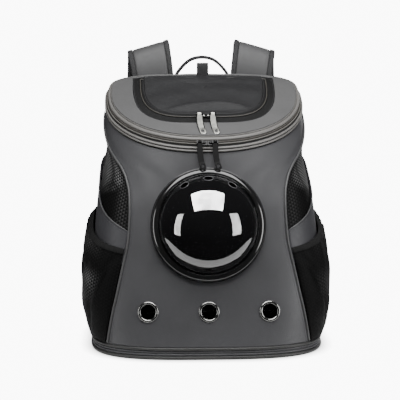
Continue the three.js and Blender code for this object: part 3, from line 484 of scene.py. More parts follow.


# Knitted air mesh: round holes on a staggered net, from three sines 60 degrees apart; the piece's light attribute
# says how far the threads are lifted towards the glint colour, a painted highlight
def airMesh(name, thread, hole, glint, period=0.0034, rough=0.6):
    material = newMaterial(name, thread, rough, specular=0.08)
    parts = clothMap(material)
    u, v = parts.outputs["X"], parts.outputs["Y"]
    half = maths(material, "MULTIPLY", u, -0.5)
    tall = maths(material, "MULTIPLY", v, 0.866)
    net = maths(material, "ADD", wave(material, u, period),
                maths(material, "ADD", wave(material, maths(material, "ADD", half, tall), period),
                      wave(material, maths(material, "SUBTRACT", half, tall), period)))
    solid = node(material, "MapRange", Value=net, _1=-0.6, _2=1.3, _3=0.0, _4=1.0)
    # Painted highlight: the light attribute blends the thread colour towards the glint colour
    light = node(material, "Attribute", {"attribute_name": "light"}).outputs["Fac"]
    lit = node(material, "Mix", {"data_type": "RGBA"}, _0=light, _6=(*thread, 1), _7=(glint, glint, glint, 1))
    colour = node(material, "Mix", {"data_type": "RGBA"}, _0=solid.outputs[0], _6=(*hole, 1), _7=lit.outputs[2])
    feed(material, colour.outputs[2], "Base Color")
    feed(material, bumpInto(material, solid.outputs[0], 0.35, 0.0005), "Normal")
    return material


# Moulded or cast finish with faint unevenness and small marks
def moulded(name, colour, rough, metal=0.0, coat=0.0, specular=0.5):
    material = newMaterial(name, colour, rough, metal=metal, coat=coat, specular=specular)
    where = node(material, "TexCoord").outputs["Object"]
    drift(material, where, colour, 0.08, 40.0)
    marks = node(material, "TexNoise", Vector=where, Scale=260.0, Detail=6.0, Roughness=0.7)
    polish = node(material, "MapRange", Value=marks.outputs["Fac"], _1=0.35, _2=0.75, _3=rough * 0.85,
                  _4=rough * 1.25 + 0.02)
    feed(material, polish.outputs[0], "Roughness")
    feed(material, bumpInto(material, marks.outputs["Fac"], 0.03, 0.0003), "Normal")
    return material


greyLeather = leatherette("grey leatherette", (0.05, 0.05, 0.053))
lidLeather = leatherette("lid leatherette", (0.094, 0.094, 0.094), 0.5)
pipingLeather = leatherette("piping", (0.07, 0.07, 0.071), 0.36)
basePiping = leatherette("base piping", (0.027, 0.027, 0.026), 0.42)
lidPiping = leatherette("lid piping", (0.15, 0.145, 0.138), 0.34)
# Grey beads round the dome's slots: a painted highlight on the slot edges of the clear dome
slotEdge = moulded("slot edge", (0.1, 0.1, 0.105), 0.15)
bandLeather = leatherette("side leatherette", (0.036, 0.036, 0.04), 0.5)
strapLeather = leatherette("strap leatherette", (0.062, 0.062, 0.063), 0.54)
# The third value is the colour of the painted highlight on each net
sideMesh = airMesh("side mesh", (0.005, 0.005, 0.005), (0.002, 0.002, 0.002), 0.3, period=0.0046)
pocketMesh = airMesh("pocket mesh", (0.004, 0.004, 0.004), (0.002, 0.002, 0.002), 0.2, period=0.0042)
nylon = weave("ripstop nylon", (0.02, 0.02, 0.021), 0.55, 0.0012, 0.0012, 0.35, amount=0.12, specular=0.3)
elastic = weave("pocket elastic", (0.009, 0.009, 0.009), 0.75, 0.0009, 0.0018, 0.5, specular=0.15)
strapBinding = weave("strap binding", (0.032, 0.032, 0.033), 0.7, 0.0009, 0.0018, 0.5, specular=0.3)
binding = weave("ribbed binding", (0.022, 0.022, 0.023), 0.7, 0.0009, 0.0018, 0.5, specular=0.3)
webbing = weave("webbing", (0.02, 0.02, 0.021), 0.7, 0.0016, 0.0022, 0.7, specular=0.3)
tapeCloth = weave("zip tape", (0.085, 0.078, 0.07), 0.75, 0.0008, 0.0012, 0.4)
# A darker copy of the zip tape: painted shade for the tape's recessed groove on the lid
zipShade = weave("shaded zip tape", (0.022, 0.021, 0.019), 0.7, 0.0008, 0.0012, 0.4)
blackTape = weave("black zip tape", (0.006, 0.006, 0.006), 0.6, 0.0009, 0.0012, 0.4)
lining = weave("air mesh padding", (0.014, 0.014, 0.015), 0.85, 0.003, 0.003, 0.9)
threadCloth = moulded("thread", (0.05, 0.05, 0.052), 0.6)
darkThread = moulded("dark thread", (0.02, 0.02, 0.02), 0.6)
lidCoil = moulded("lid zip coil", (0.13, 0.124, 0.114), 0.4)
blackCoil = moulded("black zip coil", (0.06, 0.056, 0.05), 0.4)
gloss = moulded("black plastic", (0.008, 0.008, 0.008), 0.12, coat=0.7)
satin = moulded("black enamel", (0.003, 0.003, 0.003), 0.42, specular=0.12)
silver = moulded("silver metal", (0.7, 0.7, 0.65), 0.34, metal=1.0)
# Dark silver for the window pulls' hole lining and edge cord: painted shade on the silver pulls
paintedShadeSilver = moulded("silver with painted shade", (0.05, 0.05, 0.05), 0.35, metal=1.0)
enamel = moulded("slider enamel", (0.004, 0.004, 0.004), 0.25, specular=0.3)
nickel = moulded("nickel", (0.3, 0.3, 0.29), 0.16, metal=1.0)


# Smoked clear plastic: sharp reflections, a colour that drifts a little, and faint waves from the mould
def clearPlastic():
    material = newMaterial("smoked clear plastic", (0.05, 0.051, 0.054), 0.0, specular=0.85)
    shader = material.node_tree.nodes["Principled BSDF"]
    shader.inputs["Transmission Weight"].default_value = 0.92
    shader.inputs["IOR"].default_value = 1.49
    where = node(material, "TexCoord").outputs["Object"]
    drift(material, where, (0.05, 0.051, 0.054), 0.15, 9.0)
    haze = node(material, "TexNoise", Vector=where, Scale=7.0, Detail=1.0)
    feed(material, bumpInto(material, haze.outputs["Fac"], 0.05, 0.002), "Normal")
    return material


clear = clearPlastic()
print("materials made")


# Base

base = {"inset": 2, "wall": 3.6, "piping": 2.2, "rolls": 2}


def makeBase():
    lowPiping, highPiping = 0.3 + base["piping"], bag["bandHeight"] - base["piping"]
    foot, head = lowPiping + 1.9, highPiping - 1.9
    rise = np.linspace(0, 1, 33)
    swell = np.abs(np.sin(np.pi * base["rolls"] * rise)) ** 0.6
    outer = np.column_stack([base["inset"] - 2.1 * swell, mix(foot, head, rise)])
    inside, top = base["inset"] + base["wall"], bag["bandHeight"] - 0.3
    section = np.vstack([[(base["inset"], 0.2)], outer, [(base["inset"], top), (inside, top), (inside, 0.2)]])
    ringTube("base_wrap", roundOutline(bag["base"], section, np.zeros_like, 480), greyLeather, flip=True,
             slot="leatherette", nodes=["base_band"])
    outset = base["inset"] - base["piping"] + 0.5
    for name, centre in (("base_piping_lower", lowPiping), ("base_piping_upper", highPiping)):
        cord = np.array([outset, centre]) + circle(14, base["piping"])
        ringTube(name + "_cord", roundOutline(bag["base"], cord, np.zeros_like, 480), basePiping, flip=True,
                 slot="piping", nodes=[name])
    seam = roundOutline(bag["base"], [(base["inset"] - 0.1, 0)], np.zeros_like, 900)[:, 0]
    outward = unit(seam * [1, 1, 0])
    stitches("base_stitching", seam + [0, 0, mix(foot, head, 0.5)], outward, threadCloth)


makeBase()
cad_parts["base_panel"].data.materials.clear()
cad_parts["base_panel"].data.materials.append(satin)
print("base made")

# Body panels

panels = {"front": 3, "mesh": 2, "overlay": 1.6, "gap": 0.4, "piping": 2, "cord": 1.6, "pad": 8}


def shareOf(length):
    return length / bag["around"]


# Places on the front panel: origin, right, up and out
bubblePlace = np.array([[0, -91.86, 185.99], [1, 0, 0], [0, 0.2634, 0.9647], [0, -0.9647, 0.2634]])
ventPlaces = {
    "left": [[-87, -122.05, 66.03], [0.9926, -0.1214, 0], [0.0289, 0.2365, 0.9712], [-0.1179, -0.964, 0.2382]],
    "centre": [[0, -124.61, 66.03], [1, 0, 0], [0, 0.2634, 0.9647], [0, -0.9647, 0.2634]],
    "right": [[87, -122.05, 66.03], [0.9926, 0.1214, 0], [-0.0289, 0.2365, 0.9712], [0.1179, -0.964, 0.2382]],
}


def makeFront():
    v = np.linspace(0, 1, 150)[:, None]
    u = np.linspace(-1, 1, 161)[None, :]
    place = u * (frontSeam(v) - shareOf(panels["gap"]))
    hush = np.clip((1 - np.abs(u)) * 6, 0, 1) * np.clip(np.minimum(v, 1 - v) * 9, 0, 1)
    points = onBody(v, place, 0.55 * hush * ripple(u * 1.3, v * 1.3, 5))
    panel = surface("front_cloth", points, greyLeather, slot="leatherette", nodes=["front_panel"])
    thicken(panel, panels["front"])
    tools = [prism(circle(96, 74.25), -60, 60, bubblePlace)]
    tools += [prism(circle(48, 11.65), -20, 20, ventPlaces[name]) for name in ventPlaces]
    cutAway(panel, tools)
    level = np.linspace(0.004, 0.9, 500)
    for name, side in (("left", -1), ("right", 1)):
        line = onBody(level, side * (frontSeam(level) - shareOf(5.5)), 0.15)
        out = onBody(level, side * (frontSeam(level) - shareOf(5.5)), 1.15) - line
        stitches("front_stitching_" + name, line, out, threadCloth)


def makeSides():
    for name, side in (("left", -1), ("right", 1)):
        v = np.linspace(0, bag["sideTop"], 130)[:, None]
        u = np.linspace(0, 1, 90)[None, :]
        place = side * mix(frontSeam(v) + shareOf(panels["gap"]), bag["backSeam"] - shareOf(panels["gap"]), u)
        hush = np.clip(np.minimum(u, 1 - u) * 7, 0, 1) * np.clip((v - 0.5) * 4, 0, 1) * np.clip((1 - v) * 5, 0, 1)
        fold = ripple(u * 1.6 + v * 1.5, v * 1.2, 11 + side, low=1.0, high=3.0)
        points = onBody(v, place, -1.6 * hush * (0.5 + 0.5 * fold))
        # Painted highlight on the upper net: a lit zone above a slanting line, broken by dark painted crease lines,
        # a faint painted glint strip beside the front piping, and half as strong on the right side
        crease = np.abs(np.sin(9 * u + 5.5 * v + 1.2 * fold)) ** 0.5
        strip = 0.12 * np.exp(-((u - 0.06) / 0.045) ** 2)
        upper = np.clip((v - 0.775 + 0.3 * u) * 30, 0, 1) * np.clip(u * 14 - 0.4, 0, 1)
        sheen = np.maximum(upper * np.clip(crease * (0.7 + 0.5 * fold), 0.05, 0.8), strip) * (0.75 - 0.25 * side)
        piece = surface("side_net_" + name, points, sideMesh, light=sheen, flip=side < 0, slot="mesh",
                        nodes=["side_mesh_" + name])
        thicken(piece, panels["mesh"])
        level = np.r_[np.linspace(0, 0.957, 260)]
        seam = side * frontSeam(level)
        line = onBody(level, seam, 1.1)
        out = onBody(level, seam, 2.1) - line
        openTube("front_piping_cord_" + name,
                 cordPoints(line, panels["cord"], np.cross(unit(np.gradient(line, axis=0)), out)),
                 pipingLeather, flip=True, slot="piping", nodes=["front_piping_" + name])
        makeSideBand(name, side)
        makePocket(name, side)


band = {"foot": 0.4, "places": [0.12, 0.165, 0.2, 0.28, 0.36], "heights": [0.565, 0.615, 0.65, 0.7, 0.74],
        "seat": 0.6}


def makeSideBand(name, side):
    u = np.linspace(0, 1, 70)[None, :]
    rise = np.linspace(0, 1, 40)[:, None]

    def placeAt(v):
        return mix(frontSeam(v) + shareOf(panels["cord"]), bag["backSeam"] - shareOf(panels["gap"]), u)

    top = smoothRead(band["places"], band["heights"], placeAt(0.62))
    v = mix(band["foot"], top, rise)
    out = band["seat"] + panels["overlay"]
    piece = surface("side_panel_" + name, onBody(v, side * placeAt(v), out), bandLeather, flip=side < 0,
                    slot="leatherette", nodes=["side_band_" + name])
    thicken(piece, panels["overlay"])
    edge = onBody(top, side * placeAt(top), out + 0.35)[0]
    away = onBody(top, side * placeAt(top), out + 1.35)[0] - edge
    openTube("side_panel_cord_" + name, cordPoints(edge, 0.95, np.cross(unit(np.gradient(edge, axis=0)), away)),
             pipingLeather, flip=True, slot="piping")
    lower = top - 4.5 / 271
    line = onBody(lower, side * placeAt(lower), out + 0.1)[0]
    stitches("side_panel_stitching_" + name, line, away, threadCloth)


pocket = {"bulge": 15, "cloth": 1.6, "hem": 7.5, "pleats": 11,
          "places": [0.12, 0.15, 0.2, 0.28, 0.36], "heights": [0.452, 0.458, 0.472, 0.478, 0.468],
          "rows": [0, 0.1, 0.3, 0.55, 0.8, 1], "full": [0, 0.42, 0.82, 1, 0.93, 0.66]}


# Net pocket: a flat strip beside the seam, a belly that grows to the middle, gathers under the elastic hem
def makePocket(name, side):
    u = np.linspace(0, 1, 150)[None, :]
    rise = np.linspace(0, 1, 110)[:, None]
    end = bag["backSeam"] - 0.004
    top = smoothRead(pocket["places"], pocket["heights"], mix(frontSeam(0.3), end, u))
    seat = band["seat"] + panels["overlay"]
    full = pocket["bulge"] * np.sin(np.pi * u) ** 0.6

    def place(v):
        return side * mix(frontSeam(v) + shareOf(panels["cord"] + 0.4), end, u)

    middle = np.clip(np.sin(np.pi * u) * 2.2, 0, 1)
    pleats = np.sin(2 * np.pi * (pocket["pleats"] * u + 0.35 * np.sin(5 * u + 2 * rise))) * middle
    pleats = pleats * np.clip((rise - 0.35) * 1.5, 0, 1) ** 1.5
    sag = ripple(u * 2.0, rise * 1.6, 31 + side, low=0.8, high=2.4) * middle * np.clip(rise * 5, 0, 1)
    crease = np.exp(-((u - 0.2 + 0.17 * rise**2) / 0.03) ** 2) * np.clip(np.minimum(rise, 1 - rise) * 4, 0, 1)
    v = mix(0.008, top, rise)
    seat = seat + pocket["cloth"]
    out = seat + full * smoothRead(pocket["rows"], pocket["full"], rise) + 0.9 * pleats + 1.6 * sag - 4.0 * crease
    # Painted highlight on the pocket net: a patch at mid height near the front and a fainter one under the hem,
    # wavering with a ripple, much weaker on the right side
    glintRipple = 0.6 + 0.4 * ripple(u * 3.2 + rise * 0.6, rise * 2.6, 47 + side, low=0.7, high=1.8)
    along, up = (u - 0.22 - 0.03 * glintRipple) / 0.085, (rise - 0.57 + 0.2 * (u - 0.2)) / 0.15
    middlePatch = np.exp(-(np.abs(along) ** 3) - np.abs(up) ** 3)
    upperPatch = np.exp(-(np.abs((u - 0.36) / 0.17) ** 3)) * np.clip((rise - 0.72 - 0.1 * glintRipple) * 6, 0, 1)
    sheen = (0.65 - 0.35 * side) * glintRipple * np.maximum(middlePatch, 0.4 * upperPatch)
    piece = surface("pocket_net_" + name, onBody(v, place(v), np.maximum(out, seat)), pocketMesh, light=sheen,
                    flip=side < 0, slot="mesh", nodes=["pocket_" + name])
    thicken(piece, pocket["cloth"])
    lift = np.linspace(0, 1, 16)[:, None]
    hemV = top + (lift * pocket["hem"] - 0.6) / 271
    gather = 0.9 * np.sin(2 * np.pi * (pocket["pleats"] * u + 0.35 * np.sin(5 * u + 2))) * middle * (1 - lift)
    rib = 0.3 * np.sin(2 * np.pi * 75 * u) * np.clip(np.sin(np.pi * u) * 5, 0, 1)
    puff = seat + 0.7 + full * 0.6 * (1 - 0.88 * lift**1.3) + gather + rib + 0.4 * np.sin(np.pi * lift)
    hem = surface("pocket_elastic_" + name, onBody(hemV, place(hemV), puff), elastic, flip=side < 0, slot="binding",
                  nodes=["pocket_hem_" + name])
    thicken(hem, 1.6)


def quarterRound(share):
    return np.sqrt(np.clip(1 - (1 - share) ** 2, 0, 1))


def makeBack():
    v = np.linspace(0, 1, 170)[:, None]
    half = 0.5 - bag["backSeam"] - shareOf(panels["gap"] * 4)
    u = np.linspace(-1, 1, 190)[None, :]
    place = 0.5 - half * u
    x = half * u * bag["around"]
    z = v * 355
    rim = np.clip(np.minimum(np.minimum(half * bag["around"] - np.abs(x), z), 355 - z) / 9, 0, 1)
    channels = np.ones(np.broadcast(x, z).shape)
    for middle in (-42, 42):
        channels = np.minimum(channels, np.clip(np.abs(x - middle) / 6, 0, 1))
    for middle in (110, 200, 290):
        channels = np.minimum(channels, np.clip(np.abs(z - middle + 0.0006 * x**2) / 6, 0, 1))
    depth = 4.2 * (1 - quarterRound(channels)) + 4.5 * (1 - quarterRound(rim))
    piece = surface("back_padding", onBody(v, place, -depth), lining, slot="mesh", nodes=["back_panel"])
    thicken(piece, 3.2)


makeFront()
makeSides()
makeBack()
print("body made")

# Lid

lid = {"rise": 17, "inset": 10, "bulge": 10, "cloth": 2.4, "knee": (0.2, 9), "shoulder": (5.5, 15.2), "wall": 2.4,
       "rimPiping": 1.7, "topPiping": 2.4, "edgePiping": 1.15, "tape": 1.5, "coil": 1.5, "pitch": 2.0}
window = {"outline": {"half": 108.04, "front": -24, "widest": 96, "rear": 111, "frontRound": 3.4, "rearRound": 5},
          "trim": 17, "trimCloth": 2.2, "cloth": 1.6, "wider": 6}


# Upper face of the lid: the seam plane, the rise of the band, and a dome that falls as the square of the way out
def lidHeight(x, y):
    top = bag["top"]
    ahead = y < top["widest"]
    reach = np.where(ahead, top["widest"] - top["front"], top["rear"] - top["widest"]) - lid["inset"]
    power = np.where(ahead, top["frontRound"], top["rearRound"])
    across, along = np.abs(x / (top["half"] - lid["inset"])), np.abs((y - top["widest"]) / reach)
    out = (across**power + along**power) ** (1 / power)
    return seamHeight(y) + lid["rise"] + 0.3 + lid["cloth"] + lid["bulge"] * (1 - np.minimum(out, 1) ** 2)


def onLid(flat, out=0.0):
    return np.concatenate([flat, (lidHeight(flat[..., 0], flat[..., 1]) + out)[..., None]], -1)


def insetOutline(size, inset, shares):
    smaller = {"half": size["half"] - inset, "front": size["front"] + inset, "rear": size["rear"] - inset}
    return outlinePoints({**size, **smaller}, shares)


# Window outline moved in by a distance; its front reaches further ahead, fading out towards the flap's edge
def windowOutline(inset, shares):
    size = window["outline"]
    ahead = window["wider"] * (1 - min(max(inset, 0) / window["trim"], 1))
    return insetOutline({**size, "front": size["front"] - ahead}, inset, shares)


def onSlope(share, depth):
    knee, shoulder = np.array(lid["knee"]), np.array(lid["shoulder"])
    ahead = unit(shoulder - knee)
    return mix(knee, shoulder, share) + np.array([-ahead[1], ahead[0]]) * depth


def rounded(points, radius, count=6):
    points = np.asarray(points, float)
    made = []
    for before, here, after in zip(np.roll(points, 1, 0), points, np.roll(points, -1, 0)):
        reach = min(radius, 0.45 * np.linalg.norm(before - here), 0.45 * np.linalg.norm(after - here))
        a, b = here + unit(before - here) * reach, here + unit(after - here) * reach
        t = np.linspace(0, 1, count)[:, None]
        made.append((1 - t) ** 2 * a + 2 * t * (1 - t) * here + t**2 * b)
    return np.vstack(made)


# Zip coil round an outline: a cord whose thickness swells once for each tooth
def zipCoil(name, middle, upward, across, radius, pitch, material, closed=False, **more):
    run = np.r_[0, np.cumsum(np.linalg.norm(np.diff(middle, axis=0), axis=1))]
    swell = radius * (0.78 + 0.22 * np.abs(np.sin(np.pi * run / pitch)))
    section = circle(8)[None] * swell[:, None, None]
    points = middle[:, None, :] + across[:, None, :] * section[..., :1] + upward[:, None, :] * section[..., 1:]
    return surface(name, points, material, closedRows=closed, closedColumns=True, flip=True, **more)


def makeLidBand():
    top, knee, shoulder, wall = bag["top"], lid["knee"], lid["shoulder"], lid["wall"]
    inner = [(lid["inset"], lid["rise"]), (lid["inset"], lid["rise"] - wall),
             (shoulder[0] + wall * 0.6, shoulder[1] - wall), (knee[0] + wall, knee[1] - wall * 0.4), (knee[0] + wall, 0.3)]
    section = rounded([(knee[0], 0.3), knee, shoulder, *inner], 1.0)
    ringTube("lid_band_wrap", roundOutline(top, section, seamHeight, 480), greyLeather, flip=True,
             slot="leatherette", nodes=["lid_band"])
    outset = knee[0] - lid["rimPiping"] + 0.5
    for name, rise in (("rim_piping", lid["rimPiping"] + 1.2), ("lid_piping_lower", 3 * lid["rimPiping"] + 2.1)):
        cord = np.array([outset, rise]) + circle(12, lid["rimPiping"] - 0.1)
        openTube(name + "_cord", roundOutline(top, cord, seamHeight, 420, bag["backSeam"]), lidPiping,
                 flip=True, slot="piping", nodes=[name], capped=True)
    # The lower tape uses the darker copy, painting shade in the groove; the raised edge strip has the tape's own
    # colour
    for name, low, high, depth, cloth in (("lid_zip_tape", 0.04, 0.84, 0.8, zipShade),
                                          ("lid_zip_tape_edge", 0.58, 0.8, 1.5, tapeCloth)):
        tape = [onSlope(low, 0.3), onSlope(low, depth), onSlope(high, depth), onSlope(high, 0.3)]
        openTube(name, roundOutline(top, tape, seamHeight, 420, bag["backSeam"]), cloth, flip=True,
                 slot="zip_tape", nodes=["lid_zip"] if depth < 1 else (), capped=True)
    teeth = roundOutline(top, [onSlope(0.34, 1.2), onSlope(0.34, 2.2)], seamHeight, 1900, bag["backSeam"] - 0.002)
    up = unit(teeth[:, 1] - teeth[:, 0])
    across = unit(np.cross(up, unit(np.gradient(teeth[:, 0], axis=0))))
    zipCoil("lid_zip_coil", teeth[:, 0], up, across, 0.95, lid["pitch"], lidCoil, slot="zip_tape")
    off = lid["topPiping"] - 0.4
    centre = np.array([shoulder[0] - off * 0.35, shoulder[1] + off * 0.94])
    ringTube("lid_piping_upper_cord", roundOutline(top, centre + circle(14, lid["topPiping"]), seamHeight, 480),
             lidPiping, flip=True, slot="piping", nodes=["lid_piping_upper"])
    return centre[0] + lid["topPiping"] + 0.6


def makeLidPanel(rim):
    shares = np.arange(480) / 480 - 0.5
    inner = windowOutline(0, shares)[:, None]
    outer = insetOutline(bag["top"], rim, shares)[:, None]
    t = np.linspace(0, 1, 26)[None, :, None]
    flat = mix(inner, outer, t)
    soft = ripple(flat[..., 0] / 90, flat[..., 1] / 90, 71) * np.clip(np.minimum(t, 1 - t)[..., 0] * 6, 0, 1)
    panel = surface("lid_top", onLid(flat, 0.5 * soft), lidLeather, closedRows=True, flip=True,
                    slot="lid_leatherette", nodes=["lid_panel"])
    thicken(panel, lid["cloth"])
    cord = roundOutline(bag["top"], [(rim + 0.15, 0)], seamHeight, 480)[:, 0]
    cord[:, 2] = lidHeight(cord[:, 0], cord[:, 1]) - 0.55
    along = unit(np.roll(cord, -1, 0) - np.roll(cord, 1, 0))
    across = unit(np.cross(along, [0, 0, 1.0]))
    ring = circle(10, lid["edgePiping"])
    points = cord[:, None] + across[:, None] * ring[None, :, :1] + np.cross(across, along)[:, None] * ring[None,
                                                                                                           :, 1:]
    ringTube("lid_edge_cord", points, lidPiping, slot="piping")
    hem = onLid(windowOutline(-3.0, np.linspace(-0.34, 0.34, 700)), 0.1)
    stitches("window_stitching", hem, np.array([0, 0, 1.0]), threadCloth)


def makeWindow():
    shares = np.arange(480) / 480 - 0.5
    rows = np.linspace(0, 1, 24)
    flat = np.stack([windowOutline(0.3 + (window["trim"] - 0.3) * r, shares) for r in rows], 1)
    middle = np.abs(rows - 0.68) * window["trim"]
    groove = -1.1 * np.clip(1.6 - middle, 0, 1) + 0.35 * np.clip(1 - np.abs(middle - 2.6), 0, 1)
    trim = surface("window_tape", onLid(flat, groove[None, :]), blackTape, closedRows=True, flip=False,
                   slot="zip_tape", nodes=["window_trim"])
    thicken(trim, window["trimCloth"] - 1.0, side=1)
    teeth = onLid(windowOutline(0.3 + (window["trim"] - 0.3) * 0.68, np.linspace(-0.43, 0.43, 1500)), 0.15)
    along = unit(np.gradient(teeth, axis=0))
    up = np.broadcast_to(np.array([0, 0, 1.0]), teeth.shape)
    zipCoil("window_zip_coil", teeth, up, unit(np.cross(up, along)), 0.9, 2.0, blackCoil, slot="zip_tape")
    for name, inset in (("outer", 1.4), ("inner", window["trim"] - 1.2)):
        edge = onLid(windowOutline(inset, np.linspace(-0.499, 0.499, 700)), 0.25)
        openTube("window_binding_" + name,
                 cordPoints(edge, 0.8, unit(np.cross(np.gradient(edge, axis=0), [0, 0, 1.0]))), binding,
                 slot="zip_tape")
    makeFlap()


# Window flap: rings shrinking to the middle, with long soft folds across it and a crease along the front
def makeFlap():
    shares = np.arange(300) / 300 - 0.5
    edge = insetOutline(window["outline"], window["trim"] + 0.3, shares)
    edge[:, 1] += np.clip(edge[:, 1] - 74, 0, 30) * 0.83
    centre = np.array([0, 62.0])
    t = np.linspace(1, 0.004, 60)[None, :, None]
    flat = mix(centre, edge[:, None], t)
    x, y = flat[..., 0], flat[..., 1]
    hush = np.clip((1 - t[..., 0]) * 7, 0, 1)
    arch = y - 17 + 0.004 * (x - 18) ** 2 - 8 * np.exp(-((x + 60) / 30) ** 2)
    crease = 4.2 * np.exp(-(arch / 6) ** 2) * (0.55 + 0.45 * np.cos((x - 18) / 42))
    crease = crease - 1.6 * np.exp(-((arch + 13) / 6) ** 2)
    folds = 1.5 * ripple(x / 120, y / 60, 83, low=0.5, high=1.8) + 0.5 * ripple(x / 50, y / 28, 12, low=0.6,
                                                                                high=1.6)
    over = 1.7 * np.clip((y - 76) / 10, 0, 1)
    flap = surface("window_flap", onLid(flat, (crease + folds - 0.4) * hush + over), nylon, closedRows=True,
                   flip=True, slot="nylon", nodes=["window_panel"])
    thicken(flap, 1.0)


rim = makeLidBand()
makeLidPanel(rim)
makeWindow()
print("lid made")

# Bubble window and eyelets

bubble = {"inner": 71.98, "outer": 82.98, "rise": 12, "dome": 58, "wall": 2.2, "seat": 5, "lip": 3.5,
          "lipWall": 1.4, "slotHalf": (6.5, 3.5), "slotRadius": 65, "slotTurn": 32}


def makeRing():
    inner, outer, rise, seat = bubble["inner"], bubble["outer"], bubble["rise"], bubble["seat"]
    collar = inner + 2
    turn = np.linspace(0, np.pi / 2, 22)
    crown = np.column_stack([mix(collar, outer - 0.9, np.sin(turn)), 5 + (rise - 5) * np.cos(turn)])
    lip = np.column_stack([collar - 2 * np.sin(turn[::-1]), rise - 1.6 + 1.6 * np.cos(turn[::-1])])
    lipInside = inner - bubble["lip"]
    profile = np.vstack([
        [(lipInside, -seat), (collar, -seat), (collar, 0.3), (outer - 0.3, 0.3), (outer, 0.7), (outer, 3.9),
         (outer - 0.3, 4.3), (outer - 0.8, 4.4)],
        crown[::-1], lip[::-1][1:],
        [(inner, bubble["lipWall"] - seat + 0.2), (lipInside, bubble["lipWall"] - seat)],
    ])
    ring = ringTube("bubble_rim", turned(profile, bubblePlace, 160), gloss, slot="black_plastic",
                    nodes=["bubble_ring"])
    ring.data.set_sharp_from_angle(angle=0.6)


def domeHeight(radius):
    edge = bubble["inner"] - 0.65
    rise = bubble["dome"] - bubble["rise"]
    ball = (edge**2 + rise**2) / (2 * rise)
    return bubble["dome"] - ball + np.sqrt(ball**2 - radius**2), ball


def makeDome():
    edge, foot = bubble["inner"] - 0.65, bubble["lipWall"] - bubble["seat"] + 0.3
    ball = domeHeight(0)[1]
    sweep = math.asin(edge / ball)
    turn = np.linspace(0.002, sweep, 60)
    outer = np.column_stack([ball * np.sin(turn), bubble["dome"] - ball + ball * np.cos(turn)])
    small = ball - bubble["wall"]
    inner = np.column_stack([small * np.sin(turn * 0.995), bubble["dome"] - ball + small * np.cos(turn * 0.995)])
    inside = edge - bubble["wall"]
    profile = np.vstack([outer, [(edge, 6), (edge, foot), (inside, foot), (inside, 6)], inner[::-1]])
    dome = ringTube("bubble_shell", turned(profile, bubblePlace, 160), clear, rides="dome",
                    slot="clear_plastic", nodes=["bubble_dome"])
    tools = []
    for k, turnBy in enumerate((-bubble["slotTurn"], 0, bubble["slotTurn"])):
        angle = math.radians(turnBy)
        oval = circle(28) * bubble["slotHalf"] + [0, bubble["slotRadius"]]
        spun = oval @ np.array([[math.cos(angle), math.sin(angle)], [-math.sin(angle), math.cos(angle)]])
        tools.append(prism(spun, 0, 62, bubblePlace))
        # A grey bead round each slot paints the highlight of the slot's edge
        ring = circle(64) * (bubble["slotHalf"][0] + 0.3, bubble["slotHalf"][1] + 0.3) + [0, bubble["slotRadius"]]
        ring = ring @ np.array([[math.cos(angle), math.sin(angle)], [-math.sin(angle), math.cos(angle)]])
        height = domeHeight(np.hypot(ring[:, 0], ring[:, 1]))[0] + 0.25
        line = bubblePlace[0] + np.column_stack([ring, height]) @ np.array(bubblePlace[1:])
        along = unit(np.roll(line, -1, 0) - np.roll(line, 1, 0))
        side = unit(np.cross(along, bubblePlace[3]))
        bead = circle(10, 0.5)
        bead = line[:, None] + side[:, None] * bead[None, :, :1] + np.cross(side, along)[:, None] * bead[None,
                                                                                                         :, 1:]
        ringTube("dome_slot_rim_%d" % (k + 1), bead, slotEdge, rides="dome", slot="black_plastic")
    cutAway(dome, tools)
    dome.data.set_sharp_from_angle(angle=0.5)


eyelet = {"hole": 10, "collar": 11.4, "outer": 15, "rise": 2.4, "depth": 4}


def makeEyelets():
    turn = np.linspace(0, np.pi, 18)
    centre, half = (eyelet["outer"] + eyelet["collar"] - 0.6) / 2, (eyelet["outer"] - eyelet["collar"] + 0.6) / 2
    crown = np.column_stack([centre - half * np.cos(turn), 0.8 + (eyelet["rise"] - 0.8) * np.sin(turn)])
    flange = np.vstack([[(eyelet["collar"] - 0.6, 0.3)], crown, [(eyelet["outer"], 0.3)]])
    barrel = [(eyelet["hole"], -eyelet["depth"]), (eyelet["collar"], -eyelet["depth"]), (eyelet["collar"], 0.2),
              (eyelet["collar"] - 0.65, 0.9), (eyelet["hole"] + 0.3, 0.8), (eyelet["hole"], 0.4)]
    for name, place in ventPlaces.items():
        ringTube("eyelet_flange_" + name, turned(flange, place, 72), nickel, flip=True, slot="nickel",
                 nodes=["eyelet_" + name]).data.set_sharp_from_angle(angle=0.7)
        # The barrel is black enamel, not nickel: it paints the shade inside the eyelet's hole
        inside = ringTube("eyelet_barrel_" + name, turned(barrel, place, 72), satin, slot="nickel")
        inside.data.set_sharp_from_angle(angle=0.7)


makeRing()
makeDome()
makeEyelets()
print("bubble and eyelets made")

# Zip sliders and pulls

pull = {"slider": 9, "post": 1.6, "thick": 2.6, "bridge": 3.6, "knuckle": 2.2, "plate": 1.6, "half": 4.1,
        "neck": 2.4, "bend": 5.8, "hole": (2.5, 3.5), "window": {"pitch": 19.6, "length": 46, "tilt": -7},
        "lid": {"pitch": 22.4, "length": 43, "tilt": -10}}


def sliderPlace(part, x):
    if part == "window":
        y = -24 + window["trim"] * 0.5
        near = lidHeight(np.array([-2.0, 2.0]), np.array([y, y]))
        before, after = lidHeight(np.zeros(2), np.array([y - 2, y + 2]))
        ahead = (after - before) / 4
        out = unit(np.array([-(near[1] - near[0]) / 4, -ahead, 1.0]))
        origin = np.array([x, y, lidHeight(np.array([float(x)]), np.array([y]))[0] + 0.3])
    else:
        run = lid["shoulder"][0] - lid["knee"][0]
        climb = unit(np.array([0, run, lid["shoulder"][1] - lid["knee"][1] + bag["lidSlope"] * run]))
        out = np.cross([1.0, 0, 0], climb)
        inset, rise = onSlope(0.36, lid["tape"] + 0.3)
        y = bag["top"]["front"] + inset
        origin = np.array([x, y, seamHeight(y) + rise]) + out * 0.3
    side = np.array([1.0, 0, 0])
    return origin, side, unit(np.cross(out, side)), out


